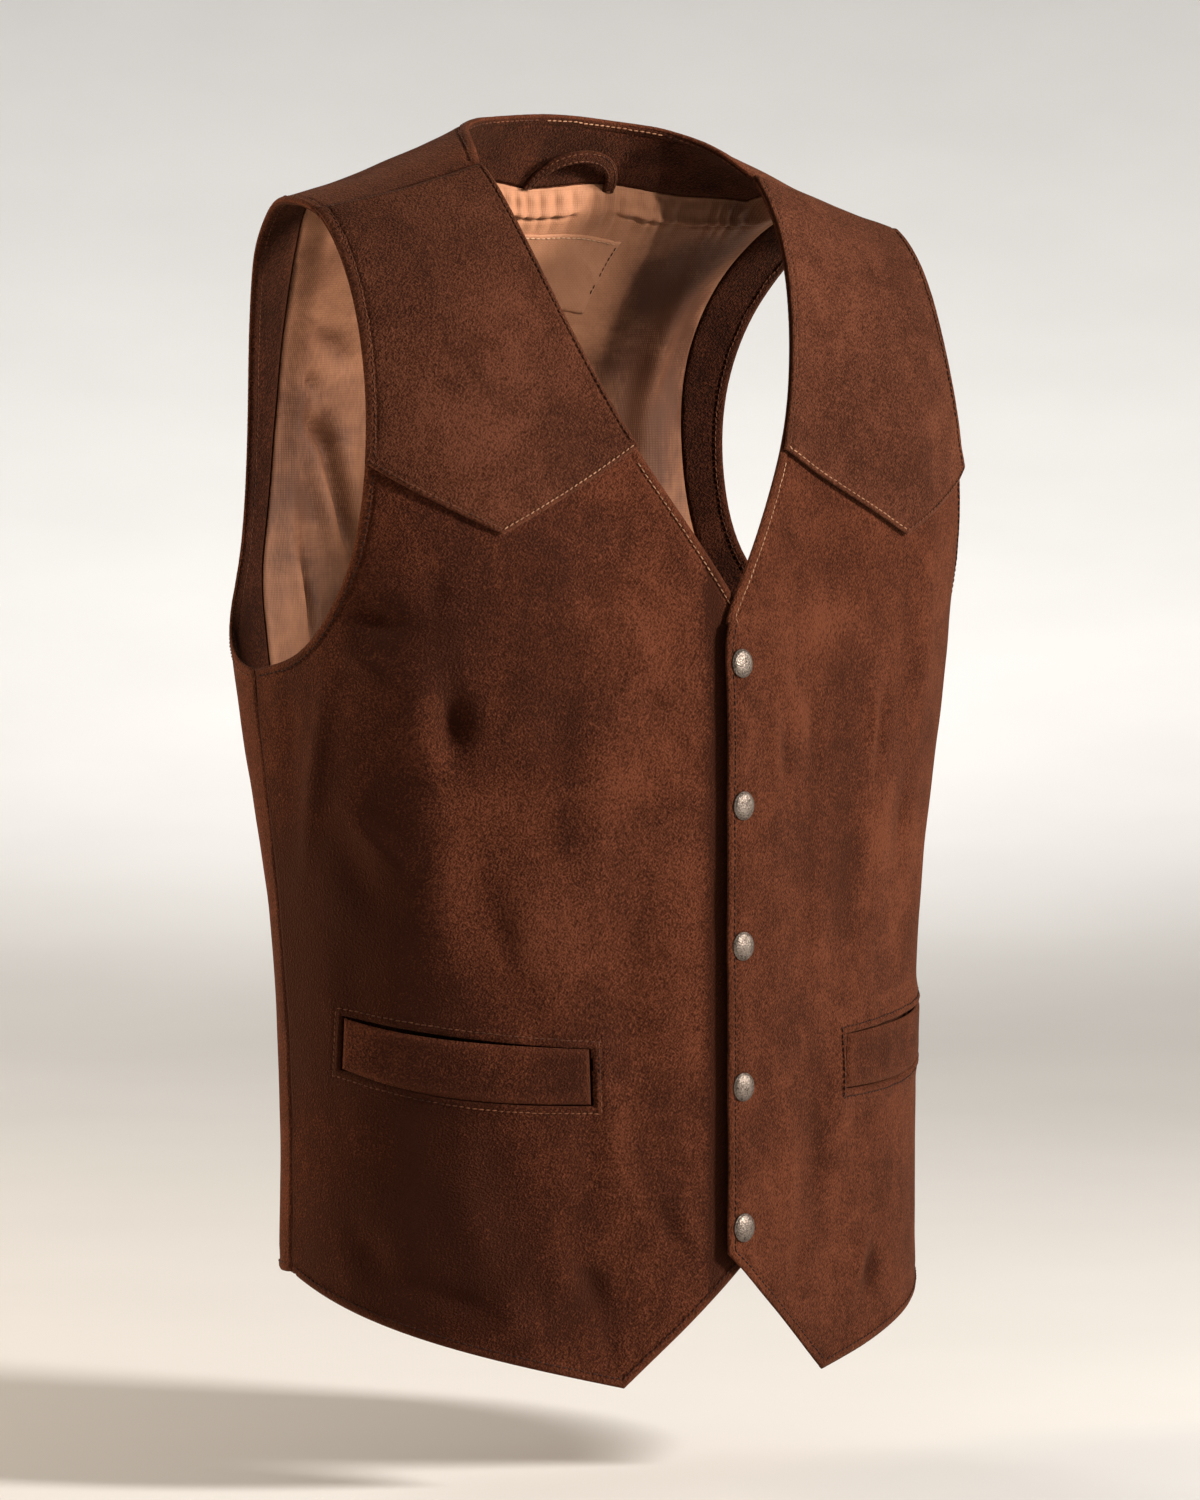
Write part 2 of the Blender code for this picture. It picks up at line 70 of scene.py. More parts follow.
# How thick each cloth is
SUEDE = 0.0018
FACING = 0.0012
WELT = 0.0016
LINING = 0.0010
PATCH = 0.0006
STRIP = 0.0022

# How a wall's faces and its outline's corners are told apart
MERGE = 0.00002
WALL_TURN = math.radians(55)
CORNER_TURN = math.radians(42)
WINDOW_TURN = math.radians(60)
RIM_STEP = 0.0007
SEAM_REACH = 0.0030

# How far from its outline each sheet gets a finer mesh
PANEL_FINE = 0.008
YOKE_FINE = 0.007
FACING_FINE = 0.006
WELT_FINE = 0.003
STRIP_FINE = 0.0025

# Turned edges: the stitches' distance, the roll of the fold, the dent of the thread and the rubbed nap
EDGE_STITCH = 0.0056
YOKE_STITCH = 0.0032
EDGE_ROUND = 0.0019
EDGE_DROP = 0.0008
EDGE_PUFF = 0.00030
EDGE_PUFF_AT = 0.52
EDGE_PUFF_WIDE = 0.36
EDGE_RUBBED = 0.007
STITCH_DENT = 0.00065
STITCH_DENT_WIDE = 0.0010
PUCKER = 0.00030
PUCKER_SIZE = 0.006
PUCKER_WIDE = 0.6

# Sewn edges sink, and painted shade darkens the cloth beside them
SEAM_ROUND = 0.0024
SEAM_DROP = 0.0012
SEAM_SHADE = 0.45
SEAM_SHADE_WIDE = 0.0040

# The lap of the left front, the bottom of the neck opening and the yokes
LAP = 0.0105
LAP_CURL = 0.0030
LAP_CURL_WIDE = 0.030
VEE_LOW = -0.212
VEE_WIDE = 0.060
YOKE_MIDDLE = 0.120
YOKE_LIFT = 0.0009
YOKE_LIFT_WIDE = 0.012
YOKE_HEM_NEAR = 0.0005

# Facings, and the stretch of the neck with pale thread
FACING_EDGE = 0.0090
FACING_WAVE = 0.0006
FACING_WAVE_WIDE = 0.022
FACING_STAND = 0.5
FACING_CALM = 0.010
NECK_PALE = (-0.010, 0.062)

# Stitches. A row keeps this share of its distance from other edges, and breaks where its points lie
# this many pitches apart.
STITCH_PITCH = 0.0034
STITCH_LENGTH = 0.0027
STITCH_SLANT = 0.10
STITCH_BATCH = 32
RUN_CLEAR = 0.95
RUN_BREAK = 4
THREAD = 0.00080
THREAD_LIFT = 0.00026

# Unevenness of hanging cloth, longer down the cloth than across it. Beside the edges it is calm, and
# this share of a front's creases is left there.
WAVE_TALL = 0.0011
WAVE_WIDE = 0.055
WAVE_HANG = 0.45
RIPPLE_TALL = 0.00045
RIPPLE_WIDE = 0.016
RIPPLE_HANG = 0.6
FRONT_SEED = 3.0
BACK_SEED = 11.0
LINING_SEED = 17.0
FRONT_CALM = 0.030
BACK_CALM = 0.035
EDGE_CREASE = 0.35

# Creases narrower than this get a finer mesh, out to where this share of their depth is left. Past a
# reach, counted in their size, they are flat. For each metre that a crease stands out the cloth is made
# lighter, as rubbed wear and painted light, and in troughs darker, as painted shade.
NARROW = 0.0100
BENT = 0.12
CREASE_REACH = 3
CREASE_WEAR_LIGHT_AND_SHADE = 45.0

# Pocket windows, cut into the fronts in two finer steps. Sags and rises count in shares of the height.
WINDOW_REACH = 0.050
WINDOW_FINE = (0.020, 0.010)
WINDOW_CUT = 0.012
WINDOW_INSIDE = -0.00005
WINDOW_GAP = 0.0008
WINDOW_LIP = 0.0013
WINDOW_LIP_WIDE = 0.014
WINDOW_ROLL = 0.0010
WINDOW_ROLL_WIDE = 0.0016
WINDOW_PUFF = 0.0006
WINDOW_DEPTH = 0.0060
WINDOW_STITCH = 0.0037
WINDOW_RUN_STEP = 0.002
WINDOW_AHEAD = 0.030
WINDOW_SAG = 0.0045
WINDOW_TOP_SAG = 0.35
SAG_FOOT = (-1.3, 0.0)
SAG_LOW = (1.0, 0.3)
SAG_HIGH = (2.6, 1.0)

# Welts
WELT_SINK = 0.0008
WELT_RISE = 0.0024
WELT_RISE_FROM = (-0.1, 0.6)
WELT_ROUND = 0.0024
WELT_DROP = 0.0011
WELT_WAVE = 0.0006
WELT_WAVE_WIDE = 0.014
WELT_CALM = 0.006

# Snap caps. The foot of the dome counts in radii of the rolled rim.
SNAPS = 5
CAP_RADIUS = 0.0075
CAP_RISE = 0.0029
CAP_BEAD = 0.00055
CAP_FOOT = 1.6
CAP_STEPS = 10
CAP_SIDES = 56
CAP_GAP = 0.0001
CAP_DIMPLE = 0.0009
CAP_DIMPLE_WIDE = 0.013

# Lining: its ease, the gathers below the neck facing and the tuck across them
LINING_EASE = 0.0060
LINING_CALM = 0.015
LINING_WAVE = 1.6
LINING_FINE = (0.055, 0.022)
LINING_TOP_REACH = 0.004
LINING_TOP_LOW = -0.030
GATHER_TALL = 0.0056
GATHER_WIDE = 0.0100
GATHER_LEAST = 0.6
GATHER_MORE = 0.8
GATHER_MORE_WIDE = 0.017
GATHER_MORE_SEED = 8.1
GATHER_DRIFT = 1.5
GATHER_DRIFT_WIDE = 0.028
GATHER_DRIFT_SEED = 2.7
GATHER_FALL = 0.012
GATHER_TOP = 0.004
GATHER_CALM = 0.006
GATHER_EDGE = 0.0022
TUCK_TALL = 0.0022
TUCK_RIDGE = 0.0119
TUCK_RIDGE_WIDE = 0.0020
TUCK_GROOVE = 0.0147
TUCK_GROOVE_WIDE = 0.0011
TUCK_GROOVE_SHARE = 0.9
TUCK_HELD = (-0.30, 0.05)
TUCK_HELD_WIDE = 0.030
TUCK_HELD_SEED = 1.3

# Patch on the lining: it lies over the gathers and bends no more than the slope
PATCH_STEP = 5
PATCH_SLOPE = 0.10
PATCH_GAP = 0.0008
PATCH_WAVE = 0.0004
PATCH_WAVE_WIDE = 0.012
PATCH_ROLL = 0.0003
PATCH_ROUND = 0.0015
PATCH_TOP_STITCH = 0.0022
PATCH_TOP = 0.006
PATCH_SIDE_STITCH = 0.0018
PATCH_SIDE_TOP = 0.005
PATCH_SIDE_FOOT = 0.009

# Hanger loop
LOOP_ROLL = 0.0006
LOOP_ROUND = 0.0013
LOOP_STITCH = 0.0016
LOOP_DENT = 0.0003
LOOP_DENT_WIDE = 0.0006

# Camera fit to the photograph's 1200 x 1500 frame
VIEW_AZIMUTH = -35.7
VIEW_ELEVATION = 2.1
VIEW_ROLL = 0.11
VIEW_DISTANCE = 3.219
VIEW_TARGET = Vector((-0.0075, 0.0, -0.281))
VIEW_SENSOR = 36
VIEW_LENS = 6067 / 1500 * VIEW_SENSOR

# Stage: a floor below the hem that sweeps up into a wall
FLOOR_DROP = 0.055
FLOOR_REACH = 2.0
FLOOR_SWEEP = 9.0
FLOOR_WALL = 2.0
FLOOR_STEPS = 24
FLOOR_SIDES = 64

# Lights: soft boxes aimed at the part's middle, and two soft beams, on the neck and on the wall
SoftBox = namedtuple("SoftBox", "name azimuth elevation distance size power colour")
SOFT_BOXES = (
    SoftBox("key", 36, 20, 3.0, 0.6, 154, (1.0, 0.95, 0.89)),
    SoftBox("rim", -130, 12, 3.0, 0.9, 84, (1.0, 0.80, 0.58)),
    SoftBox("fill behind", 170, 35, 3.5, 1.5, 24, (1.0, 0.97, 0.93)),
)
Beam = namedtuple("Beam", "name cone size power colour")
COLLAR_BEAM = Beam("collar", 3.6, 0.10, 640, (1.0, 0.95, 0.89))
COLLAR = Vector((0.040, 0.085, -0.012))
COLLAR_WAY = (2, 22)
COLLAR_DISTANCE = 3.0
WALL_BEAM = Beam("wall", 110, 0.5, 900, (1.0, 0.985, 0.965))
WALL_FROM = (1.5, 3.0)
WALL_TO = (7.0, 1.5)
SKY = (1.0, 0.985, 0.965, 1.0)
SKY_STRENGTH = 0.16

# Cut of each sheet before sewing: width and length of the cloth it takes, and its area
Cut = namedtuple("Cut", "width length area")

# Soft creases: where, which way they run, how long, wide and deep. A trough counts below zero.
# On the fronts x runs out to the side, on the sides it runs back, and on the back and its lining
# to the wearer's left.
Crease = namedtuple("Crease", "x height degrees length width depth")
CREASES = {
    "front_right": (
        Crease(0.1525, -0.264, 84, 0.017, 0.0075, -0.0074),
        Crease(0.1615, -0.278, 90, 0.009, 0.0065, 0.0024),
        Crease(0.1690, -0.248, 82, 0.028, 0.0095, 0.0028),
        Crease(0.1620, -0.197, 90, 0.011, 0.0060, -0.0022),
        Crease(0.1540, -0.335, 88, 0.045, 0.0120, 0.0030),
        Crease(0.1300, -0.364, 72, 0.034, 0.0090, -0.0028),
        Crease(0.1120, -0.372, 80, 0.022, 0.0150, 0.0026),
        Crease(0.0980, -0.280, 92, 0.042, 0.0120, -0.0024),
        Crease(0.0780, -0.335, 96, 0.050, 0.0130, 0.0016),
        Crease(0.0400, -0.268, 58, 0.026, 0.0070, -0.0016),
        Crease(0.0540, -0.226, 50, 0.020, 0.0080, 0.0016),
        Crease(0.0600, -0.400, 88, 0.045, 0.0110, -0.0014),
        Crease(0.1470, -0.557, 19, 0.017, 0.0060, -0.0034),
        Crease(0.1210, -0.566, 40, 0.012, 0.0075, 0.0026),
        Crease(0.0790, -0.553, 62, 0.013, 0.0060, -0.0034),
        Crease(0.0970, -0.545, 66, 0.017, 0.0080, 0.0026),
        Crease(0.0710, -0.585, 75, 0.012, 0.0055, -0.0024),
        Crease(0.0400, -0.524, 62, 0.015, 0.0050, -0.0018),
        Crease(0.0310, -0.520, 66, 0.013, 0.0050, 0.0016),
        Crease(0.0680, -0.478, 86, 0.032, 0.0090, 0.0020),
        Crease(0.0830, -0.486, 88, 0.030, 0.0080, -0.0018),
        Crease(0.1240, -0.500, 76, 0.034, 0.0110, -0.0020),
        Crease(0.1420, -0.515, 70, 0.026, 0.0090, 0.0020),
    ),
    "side_right": (
        Crease(-0.0530, -0.209, 20, 0.011, 0.0065, -0.0058),
        Crease(-0.0460, -0.231, 30, 0.012, 0.0070, 0.0032),
        Crease(-0.0150, -0.285, 104, 0.045, 0.0060, 0.0034),
        Crease(0.0020, -0.268, 98, 0.034, 0.0080, -0.0022),
        Crease(-0.0430, -0.321, 54, 0.019, 0.0070, 0.0032),
        Crease(-0.0360, -0.345, 58, 0.024, 0.0100, -0.0036),
        Crease(-0.0300, -0.400, 95, 0.040, 0.0130, -0.0030),
        Crease(-0.0360, -0.535, 60, 0.018, 0.0090, -0.0034),
    ),
    "front_left": (
        Crease(0.0240, -0.276, 92, 0.019, 0.0045, 0.0019),
        Crease(0.0330, -0.282, 90, 0.022, 0.0045, -0.0015),
        Crease(0.0310, -0.246, 104, 0.014, 0.0050, 0.0016),
        Crease(0.0440, -0.258, 116, 0.018, 0.0060, 0.0019),
        Crease(0.0560, -0.272, 100, 0.022, 0.0065, -0.0019),
        Crease(0.1035, -0.267, 88, 0.015, 0.0042, 0.0030),
        Crease(0.1110, -0.270, 84, 0.018, 0.0050, -0.0026),
        Crease(0.1150, -0.322, 90, 0.034, 0.0110, 0.0026),
        Crease(0.1350, -0.316, 86, 0.018, 0.0065, -0.0028),
        Crease(0.0860, -0.330, 94, 0.050, 0.0120, -0.0020),
        Crease(0.0620, -0.375, 87, 0.040, 0.0100, 0.0014),
        Crease(0.1480, -0.236, 84, 0.050, 0.0100, 0.0020),
        Crease(0.1330, -0.222, 88, 0.045, 0.0110, -0.0018),
        Crease(0.0350, -0.498, 92, 0.028, 0.0070, 0.0018),
        Crease(0.0580, -0.492, 97, 0.032, 0.0080, -0.0020),
        Crease(0.0780, -0.470, 88, 0.034, 0.0100, 0.0016),
        Crease(0.1080, -0.556, 70, 0.011, 0.0060, -0.0034),
        Crease(0.0970, -0.550, 76, 0.013, 0.0060, 0.0026),
        Crease(0.0440, -0.546, 70, 0.016, 0.0055, -0.0016),
    ),
    "side_left": (
        Crease(-0.0460, -0.250, 90, 0.060, 0.0180, 0.0030),
        Crease(-0.0180, -0.300, 98, 0.050, 0.0080, 0.0028),
        Crease(0.0000, -0.330, 94, 0.040, 0.0090, -0.0024),
        Crease(-0.0350, -0.380, 62, 0.024, 0.0100, -0.0028),
        Crease(-0.0300, -0.520, 70, 0.022, 0.0090, -0.0026),
    ),
    "yoke_right": (
        Crease(0.120, -0.090, 70, 0.050, 0.0110, -0.0010),
        Crease(0.150, -0.050, 100, 0.040, 0.0110, 0.0010),
    ),
    "yoke_left": (
        Crease(0.120, -0.070, 82, 0.060, 0.0120, -0.0011),
        Crease(0.150, -0.110, 75, 0.045, 0.0100, 0.0010),
    ),
    "back": (
        Crease(0.074, -0.410, 84, 0.085, 0.0130, -0.0044),
        Crease(0.094, -0.395, 90, 0.070, 0.0120, 0.0031),
        Crease(-0.060, -0.440, 95, 0.080, 0.0130, -0.0041),
        Crease(-0.036, -0.425, 88, 0.060, 0.0120, 0.0027),
        Crease(0.008, -0.380, 93, 0.070, 0.0150, -0.0024),
        Crease(0.130, -0.300, 122, 0.060, 0.0120, -0.0037),
        Crease(0.112, -0.320, 118, 0.050, 0.0110, 0.0027),
        Crease(-0.126, -0.295, 60, 0.065, 0.0120, -0.0041),
        Crease(-0.106, -0.318, 64, 0.050, 0.0110, 0.0027),
        Crease(-0.030, -0.180, 20, 0.060, 0.0140, -0.0020),
        Crease(0.050, -0.120, 160, 0.050, 0.0140, -0.0020),
        Crease(-0.150, -0.380, 78, 0.050, 0.0100, -0.0036),
        Crease(-0.165, -0.370, 80, 0.045, 0.0090, 0.0026),
        Crease(0.155, -0.400, 98, 0.045, 0.0095, -0.0034),
        Crease(-0.020, -0.540, 84, 0.030, 0.0120, -0.0026),
        Crease(0.090, -0.235, 150, 0.036, 0.0090, -0.0028),
    ),
    "back_lining": (
        Crease(0.064, -0.120, 78, 0.070, 0.0090, -0.0036),
        Crease(0.044, -0.110, 80, 0.060, 0.0110, 0.0042),
        Crease(0.126, -0.060, 83, 0.032, 0.0055, -0.0040),
        Crease(0.114, -0.064, 84, 0.030, 0.0070, 0.0040),
        Crease(0.098, -0.170, 88, 0.060, 0.0080, -0.0034),
        Crease(0.112, -0.165, 90, 0.060, 0.0090, 0.0036),
        Crease(0.012, -0.090, 58, 0.035, 0.0080, -0.0022),
        Crease(-0.010, -0.170, 100, 0.080, 0.0130, -0.0030),
        Crease(-0.050, -0.110, 104, 0.090, 0.0140, 0.0040),
        Crease(-0.107, -0.113, 142, 0.013, 0.0044, -0.0062),
        Crease(-0.088, -0.147, 111, 0.036, 0.0052, -0.0072),
        Crease(-0.102, -0.150, 109, 0.036, 0.0075, 0.0052),
        Crease(-0.075, -0.150, 108, 0.036, 0.0080, 0.0030),
        Crease(-0.115, -0.201, 96, 0.026, 0.0036, -0.0060),
        Crease(-0.124, -0.200, 98, 0.026, 0.0054, 0.0042),
        Crease(-0.115, -0.085, 143, 0.008, 0.0038, -0.0040),
        Crease(-0.100, -0.066, 150, 0.018, 0.0070, -0.0026),
        Crease(-0.060, -0.300, 92, 0.120, 0.0150, -0.0040),
        Crease(0.050, -0.330, 88, 0.120, 0.0160, -0.0040),
        Crease(0.140, -0.280, 82, 0.100, 0.0130, 0.0036),
    ),
}

# Soft patches of nap tone and of painted light and shade, lighter or darker: where, how wide and tall, and
# how much
NapLightAndShade = namedtuple("NapLightAndShade", "x height wide tall tone")
NAP_LIGHT_AND_SHADE = {
    # Mostly painted shade: the right front darker towards its side and its foot, where the light falls off,
    # and in some troughs, with a few lighter patches of nap tone and painted light
    "front_right": (
        NapLightAndShade(0.106, -0.360, 0.036, 0.055, 0.16),
        NapLightAndShade(0.056, -0.250, 0.036, 0.046, 0.14),
        NapLightAndShade(0.098, -0.285, 0.018, 0.050, -0.16),
        NapLightAndShade(0.180, -0.350, 0.022, 0.060, -0.40),
        NapLightAndShade(0.180, -0.420, 0.045, 0.220, -0.26),
        NapLightAndShade(0.110, -0.480, 0.070, 0.110, -0.16),
        NapLightAndShade(0.120, -0.230, 0.050, 0.060, -0.14),
        NapLightAndShade(0.176, -0.215, 0.018, 0.024, -0.20),
        NapLightAndShade(0.120, -0.550, 0.060, 0.045, -0.24),
        NapLightAndShade(0.160, -0.470, 0.030, 0.070, -0.26),
        NapLightAndShade(0.072, -0.480, 0.012, 0.040, 0.12),
        NapLightAndShade(0.080, -0.555, 0.012, 0.016, -0.20),
        # Painted shadow of the left front's lapped edge: a narrow dark strip beside it
        NapLightAndShade(0.0115, -0.420, 0.006, 0.300, -0.95),
    ),
    # Painted light on crease ridges and painted shade in troughs of the left front, with some patches of nap
    # tone
    "front_left": (
        NapLightAndShade(0.062, -0.212, 0.018, 0.014, 0.26),
        NapLightAndShade(0.042, -0.254, 0.014, 0.020, 0.22),
        NapLightAndShade(0.078, -0.246, 0.020, 0.018, -0.18),
        NapLightAndShade(0.090, -0.180, 0.034, 0.020, -0.16),
        NapLightAndShade(0.115, -0.335, 0.018, 0.050, 0.18),
        NapLightAndShade(0.070, -0.335, 0.026, 0.050, -0.16),
        NapLightAndShade(0.058, -0.490, 0.014, 0.032, -0.20),
        NapLightAndShade(0.035, -0.498, 0.010, 0.026, 0.16),
        NapLightAndShade(0.108, -0.556, 0.010, 0.010, -0.28),
    ),
    "yoke_right": (
        NapLightAndShade(0.120, -0.020, 0.040, 0.020, -0.12),
        NapLightAndShade(0.105, -0.090, 0.020, 0.050, 0.14),
        NapLightAndShade(0.150, -0.060, 0.014, 0.030, -0.16),
        NapLightAndShade(0.085, -0.045, 0.010, 0.024, -0.14),
        NapLightAndShade(0.135, -0.120, 0.016, 0.018, 0.14),
        NapLightAndShade(0.168, -0.100, 0.012, 0.024, 0.12),
        NapLightAndShade(0.085, -0.110, 0.018, 0.012, -0.12),
    ),
    "yoke_left": (
        NapLightAndShade(0.120, -0.060, 0.024, 0.050, 0.10),
        NapLightAndShade(0.092, -0.100, 0.014, 0.020, -0.14),
        NapLightAndShade(0.140, -0.120, 0.012, 0.022, -0.12),
    ),
    "pocket_welt_right": (
        NapLightAndShade(0.110, -0.430, 0.090, 0.080, -0.30),
        NapLightAndShade(0.130, -0.430, 0.010, 0.020, 0.26),
    ),
    "pocket_welt_left": (NapLightAndShade(0.110, -0.430, 0.090, 0.080, -0.12),),
    # Painted shade on the lining: darker towards the right armhole, and on its left side where the left
    # shoulder shades it
    "back_lining": (
        NapLightAndShade(-0.125, -0.120, 0.060, 0.150, -0.84),
        NapLightAndShade(0.105, -0.030, 0.030, 0.040, -0.40),
        NapLightAndShade(0.120, -0.080, 0.045, 0.120, -1.00),
    ),
    "back": (
        NapLightAndShade(0.060, -0.200, 0.060, 0.070, 0.14),
        NapLightAndShade(-0.080, -0.330, 0.050, 0.080, -0.16),
        NapLightAndShade(0.020, -0.470, 0.070, 0.050, 0.10),
    ),
}


def ease(low, high, at):
    """From 0 at low to 1 at high, level at both ends."""
    share = min(max((at - low) / (high - low), 0.0), 1.0)
    return share * share * (3 - 2 * share)


def fade(width, at):
    """From 1 at zero to 0 at a width, level at both ends."""
    return 1 - ease(0.0, width, at)


def hump(at, middle, width):
    return math.exp(-(((at - middle) / width) ** 2))


def tree_of(points):
    tree = KDTree(len(points))
    for i, point in enumerate(points):
        tree.insert(point, i)
    tree.balance()
    return tree


def distance_to(tree, place):
    """Distance to the nearest point of a tree, and far away where it holds none."""
    found = tree.find(place)
    return found[2] if found[0] is not None else 1.0


# Sheets of cloth


def wall_face(node, inside=False):
    """The outer face of a packed wall of cloth, or its inner one, as a sheet of quads."""
    bm = bmesh.new()
    bm.from_mesh(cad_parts[node].data)
    bmesh.ops.remove_doubles(bm, verts=bm.verts[:], dist=MERGE)
    left, regions = set(bm.faces), []
    while left:
        todo = [left.pop()]
        region = set(todo)
        while todo:
            for edge in todo.pop().edges:
                if edge.calc_face_angle(math.pi) < WALL_TURN:
                    near = [face for face in edge.link_faces if face in left]
                    left.difference_update(near)
                    region.update(near)
                    todo += near
        regions.append(region)
    regions.sort(key=lambda region: sum(face.calc_area() for face in region))
    keep = regions[-1]
    if inside:
        keep = min(regions[-2:], key=lambda region: sum(face.normal.y * face.calc_area() for face in region))
    bmesh.ops.delete(bm, geom=[face for face in bm.faces if face not in keep], context="FACES")
    bmesh.ops.join_triangles(
        bm, faces=bm.faces[:], angle_face_threshold=math.pi, angle_shape_threshold=math.pi
    )
    return bm


def outline_turn(vert):
    """How far an outline turns at one of its points."""
    rim = [edge for edge in vert.link_edges if edge.is_boundary]
    if len(rim) != 2:
        return 0.0
    before, after = (edge.other_vert(vert).co - vert.co for edge in rim)
    return math.pi - before.angle(after)


def round_off(bm, levels):
    """Subdivides a sheet smoothly and keeps the corners of its outline."""
    corner = bm.verts.layers.float.new("crease_vert")
    for vert in bm.verts:
        if outline_turn(vert) > CORNER_TURN:
            vert[corner] = 1.0
    mesh = bpy.data.meshes.new("rounding")
    bm.to_mesh(mesh)
    item = bpy.data.objects.new("rounding", mesh)
    bpy.context.scene.collection.objects.link(item)
    finer = item.modifiers.new("finer", "SUBSURF")
    finer.levels = finer.render_levels = levels
    finer.boundary_smooth = "PRESERVE_CORNERS"
    made = bpy.data.meshes.new_from_object(item.evaluated_get(bpy.context.evaluated_depsgraph_get()))
    bm.clear()
    bm.from_mesh(made)
    bpy.data.objects.remove(item)
    bpy.data.meshes.remove(mesh)
    bpy.data.meshes.remove(made)


def halve(bm, wanted):
    """Halves both ways the faces whose middles are wanted."""
    faces = [face for face in bm.faces if wanted(face.calc_center_median())]
    edges = list({edge for face in faces for edge in face.edges})
    bmesh.ops.subdivide_edges(bm, edges=edges, cuts=1, use_grid_fill=True)
    bm.normal_update()


def refine(bm, tree, reach, times=1):
    """Halves the faces that lie within reach of a tree's points."""
    for _ in range(times):
        halve(bm, lambda place: distance_to(tree, place) < reach)


def rim_points(bm):
    """Points along the outline of a sheet, close together."""
    points = []
    for edge in bm.edges:
        if edge.is_boundary:
            start, end = (vert.co for vert in edge.verts)
            count = max(1, math.ceil((end - start).length / RIM_STEP))
            points += [start.lerp(end, i / count) for i in range(count)]
    return points


def node_rim(*nodes):
    """A tree of the outline points of packed walls."""
    points = []
    for node in nodes:
        bm = wall_face(node)
        points += rim_points(bm)
        bm.free()
    return tree_of(points)


class Sheet:
    """One sheet of cloth while it is shaped, with its free edges told from its seams."""

    def __init__(self, node, sewn_to=(), inside=False, levels=2):
        self.node = node
        self.bm = wall_face(node, inside)
        round_off(self.bm, levels)
        self.bm.normal_update()
        neighbours = node_rim(*sewn_to) if sewn_to else tree_of([])
        points = rim_points(self.bm)
        seam = [p for p in points if distance_to(neighbours, p) < SEAM_REACH]
        free = [p for p in points if distance_to(neighbours, p) >= SEAM_REACH]
        self.free, self.seam, self.rim = tree_of(free), tree_of(seam), tree_of(points)

    def refine_edges(self, reach, times=1):
        refine(self.bm, self.rim, reach, times)

    def refine_creases(self, panels, side):
        """Halves the faces that the narrow creases of some panels bend."""
        narrow = [(panel, c) for panel in panels for c in CREASES[panel] if c.width < NARROW]

        def is_bent(place):
            return any(abs(bend(panel, c, side, place)) > BENT * abs(c.depth) for panel, c in narrow)

        halve(self.bm, is_bent)

    def move(self, shape):
        """Moves every point out along its own normal by what shape says."""
        self.bm.normal_update()
        edge = self.bm.verts.layers.float.new("edge")
        moves = [(vert, vert.normal * shape(vert.co)) for vert in self.bm.verts]
        for vert in self.bm.verts:
            vert[edge] = fade(EDGE_RUBBED, distance_to(self.free, vert.co))
        for vert, step in moves:
            vert.co += step

    def brush(self, side):
        """Notes at every point how light it is made: patches of tone and of painted light and shade, crease
        ridges lighter as rubbed wear and painted light, troughs darker as painted shade, and painted shade
        beside seams.
        """
        nap_light_and_shade = self.bm.verts.layers.float.new("nap_light_and_shade")
        for vert in self.bm.verts:
            # Patches of nap tone and of painted light and shade
            patch_light_and_shade = nap_light_and_shade_at(self.node, side, vert.co)
            # Crease ridges lighter, as rubbed wear and painted light, and troughs darker, as painted shade
            rubbed = CREASE_WEAR_LIGHT_AND_SHADE * crease_at(self.node, side, vert.co)
            # Painted shade beside the seams
            sewn = SEAM_SHADE * fade(SEAM_SHADE_WIDE, distance_to(self.seam, vert.co))
            vert[nap_light_and_shade] = patch_light_and_shade + rubbed - sewn

    def edges(self, place, distance, stitch):
        """Relief of the turned edges, at a distance from them, and of the seams."""
        out = turned_edge(distance, stitch) + pucker(place, distance, stitch)
        return out + seam_edge(distance_to(self.seam, place))

    def surface(self):
        self.bm.normal_update()
        return BVHTree.FromBMesh(self.bm)

    def run_beside(self, distance, wanted, surface):
        """Points of the cloth at one distance from the stretches of its outline that are wanted."""
        runs, rim = [], tree_of(rim_points(self.bm))
        for ring in outlines(self.bm):
            run = []
            for place, inward in ring:
                spot = place + inward * distance
                if wanted(place) and distance_to(rim, spot) > RUN_CLEAR * distance:
                    found = surface.find_nearest(spot)
                    run.append((found[0], found[1]))
                elif run:
                    runs.append(run)
                    run = []
            if run:
                runs.append(run)
        return runs

    def is_free(self, place):
        return distance_to(self.free, place) <= distance_to(self.seam, place)

    def finish(self, material, thickness):
        """The sheet as a piece with its thickness behind it."""
        piece = piece_from(self.bm, f"{self.node}_cloth", material)
        solid = piece.modifiers.new("thickness", "SOLIDIFY")
        solid.thickness = thickness
        solid.offset = -1.0
        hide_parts(self.node)
        return piece


def outlines(bm):
    """Rings of an outline's points in order, each with its way in along the cloth."""
    left = {vert for vert in bm.verts if vert.is_boundary}
    rings = []
    while left:
        vert = left.pop()
        ring = []
        edge = next(e for e in vert.link_edges if e.is_boundary)
        while edge is not None:
            after = edge.other_vert(vert)
            face = edge.link_faces[0]
            inward = face.normal.cross(after.co - vert.co).normalized()
            if inward.dot(face.calc_center_median() - vert.co) < 0:
                inward.negate()
            ring.append((vert.co.lerp(after.co, 0.5), inward))
            left.discard(after)
            vert = after
            ahead = [e for e in vert.link_edges if e.is_boundary and e is not edge]
            edge = ahead[0] if ahead and (ahead[0].other_vert(vert) in left) else None
        rings.append(ring)
    return rings


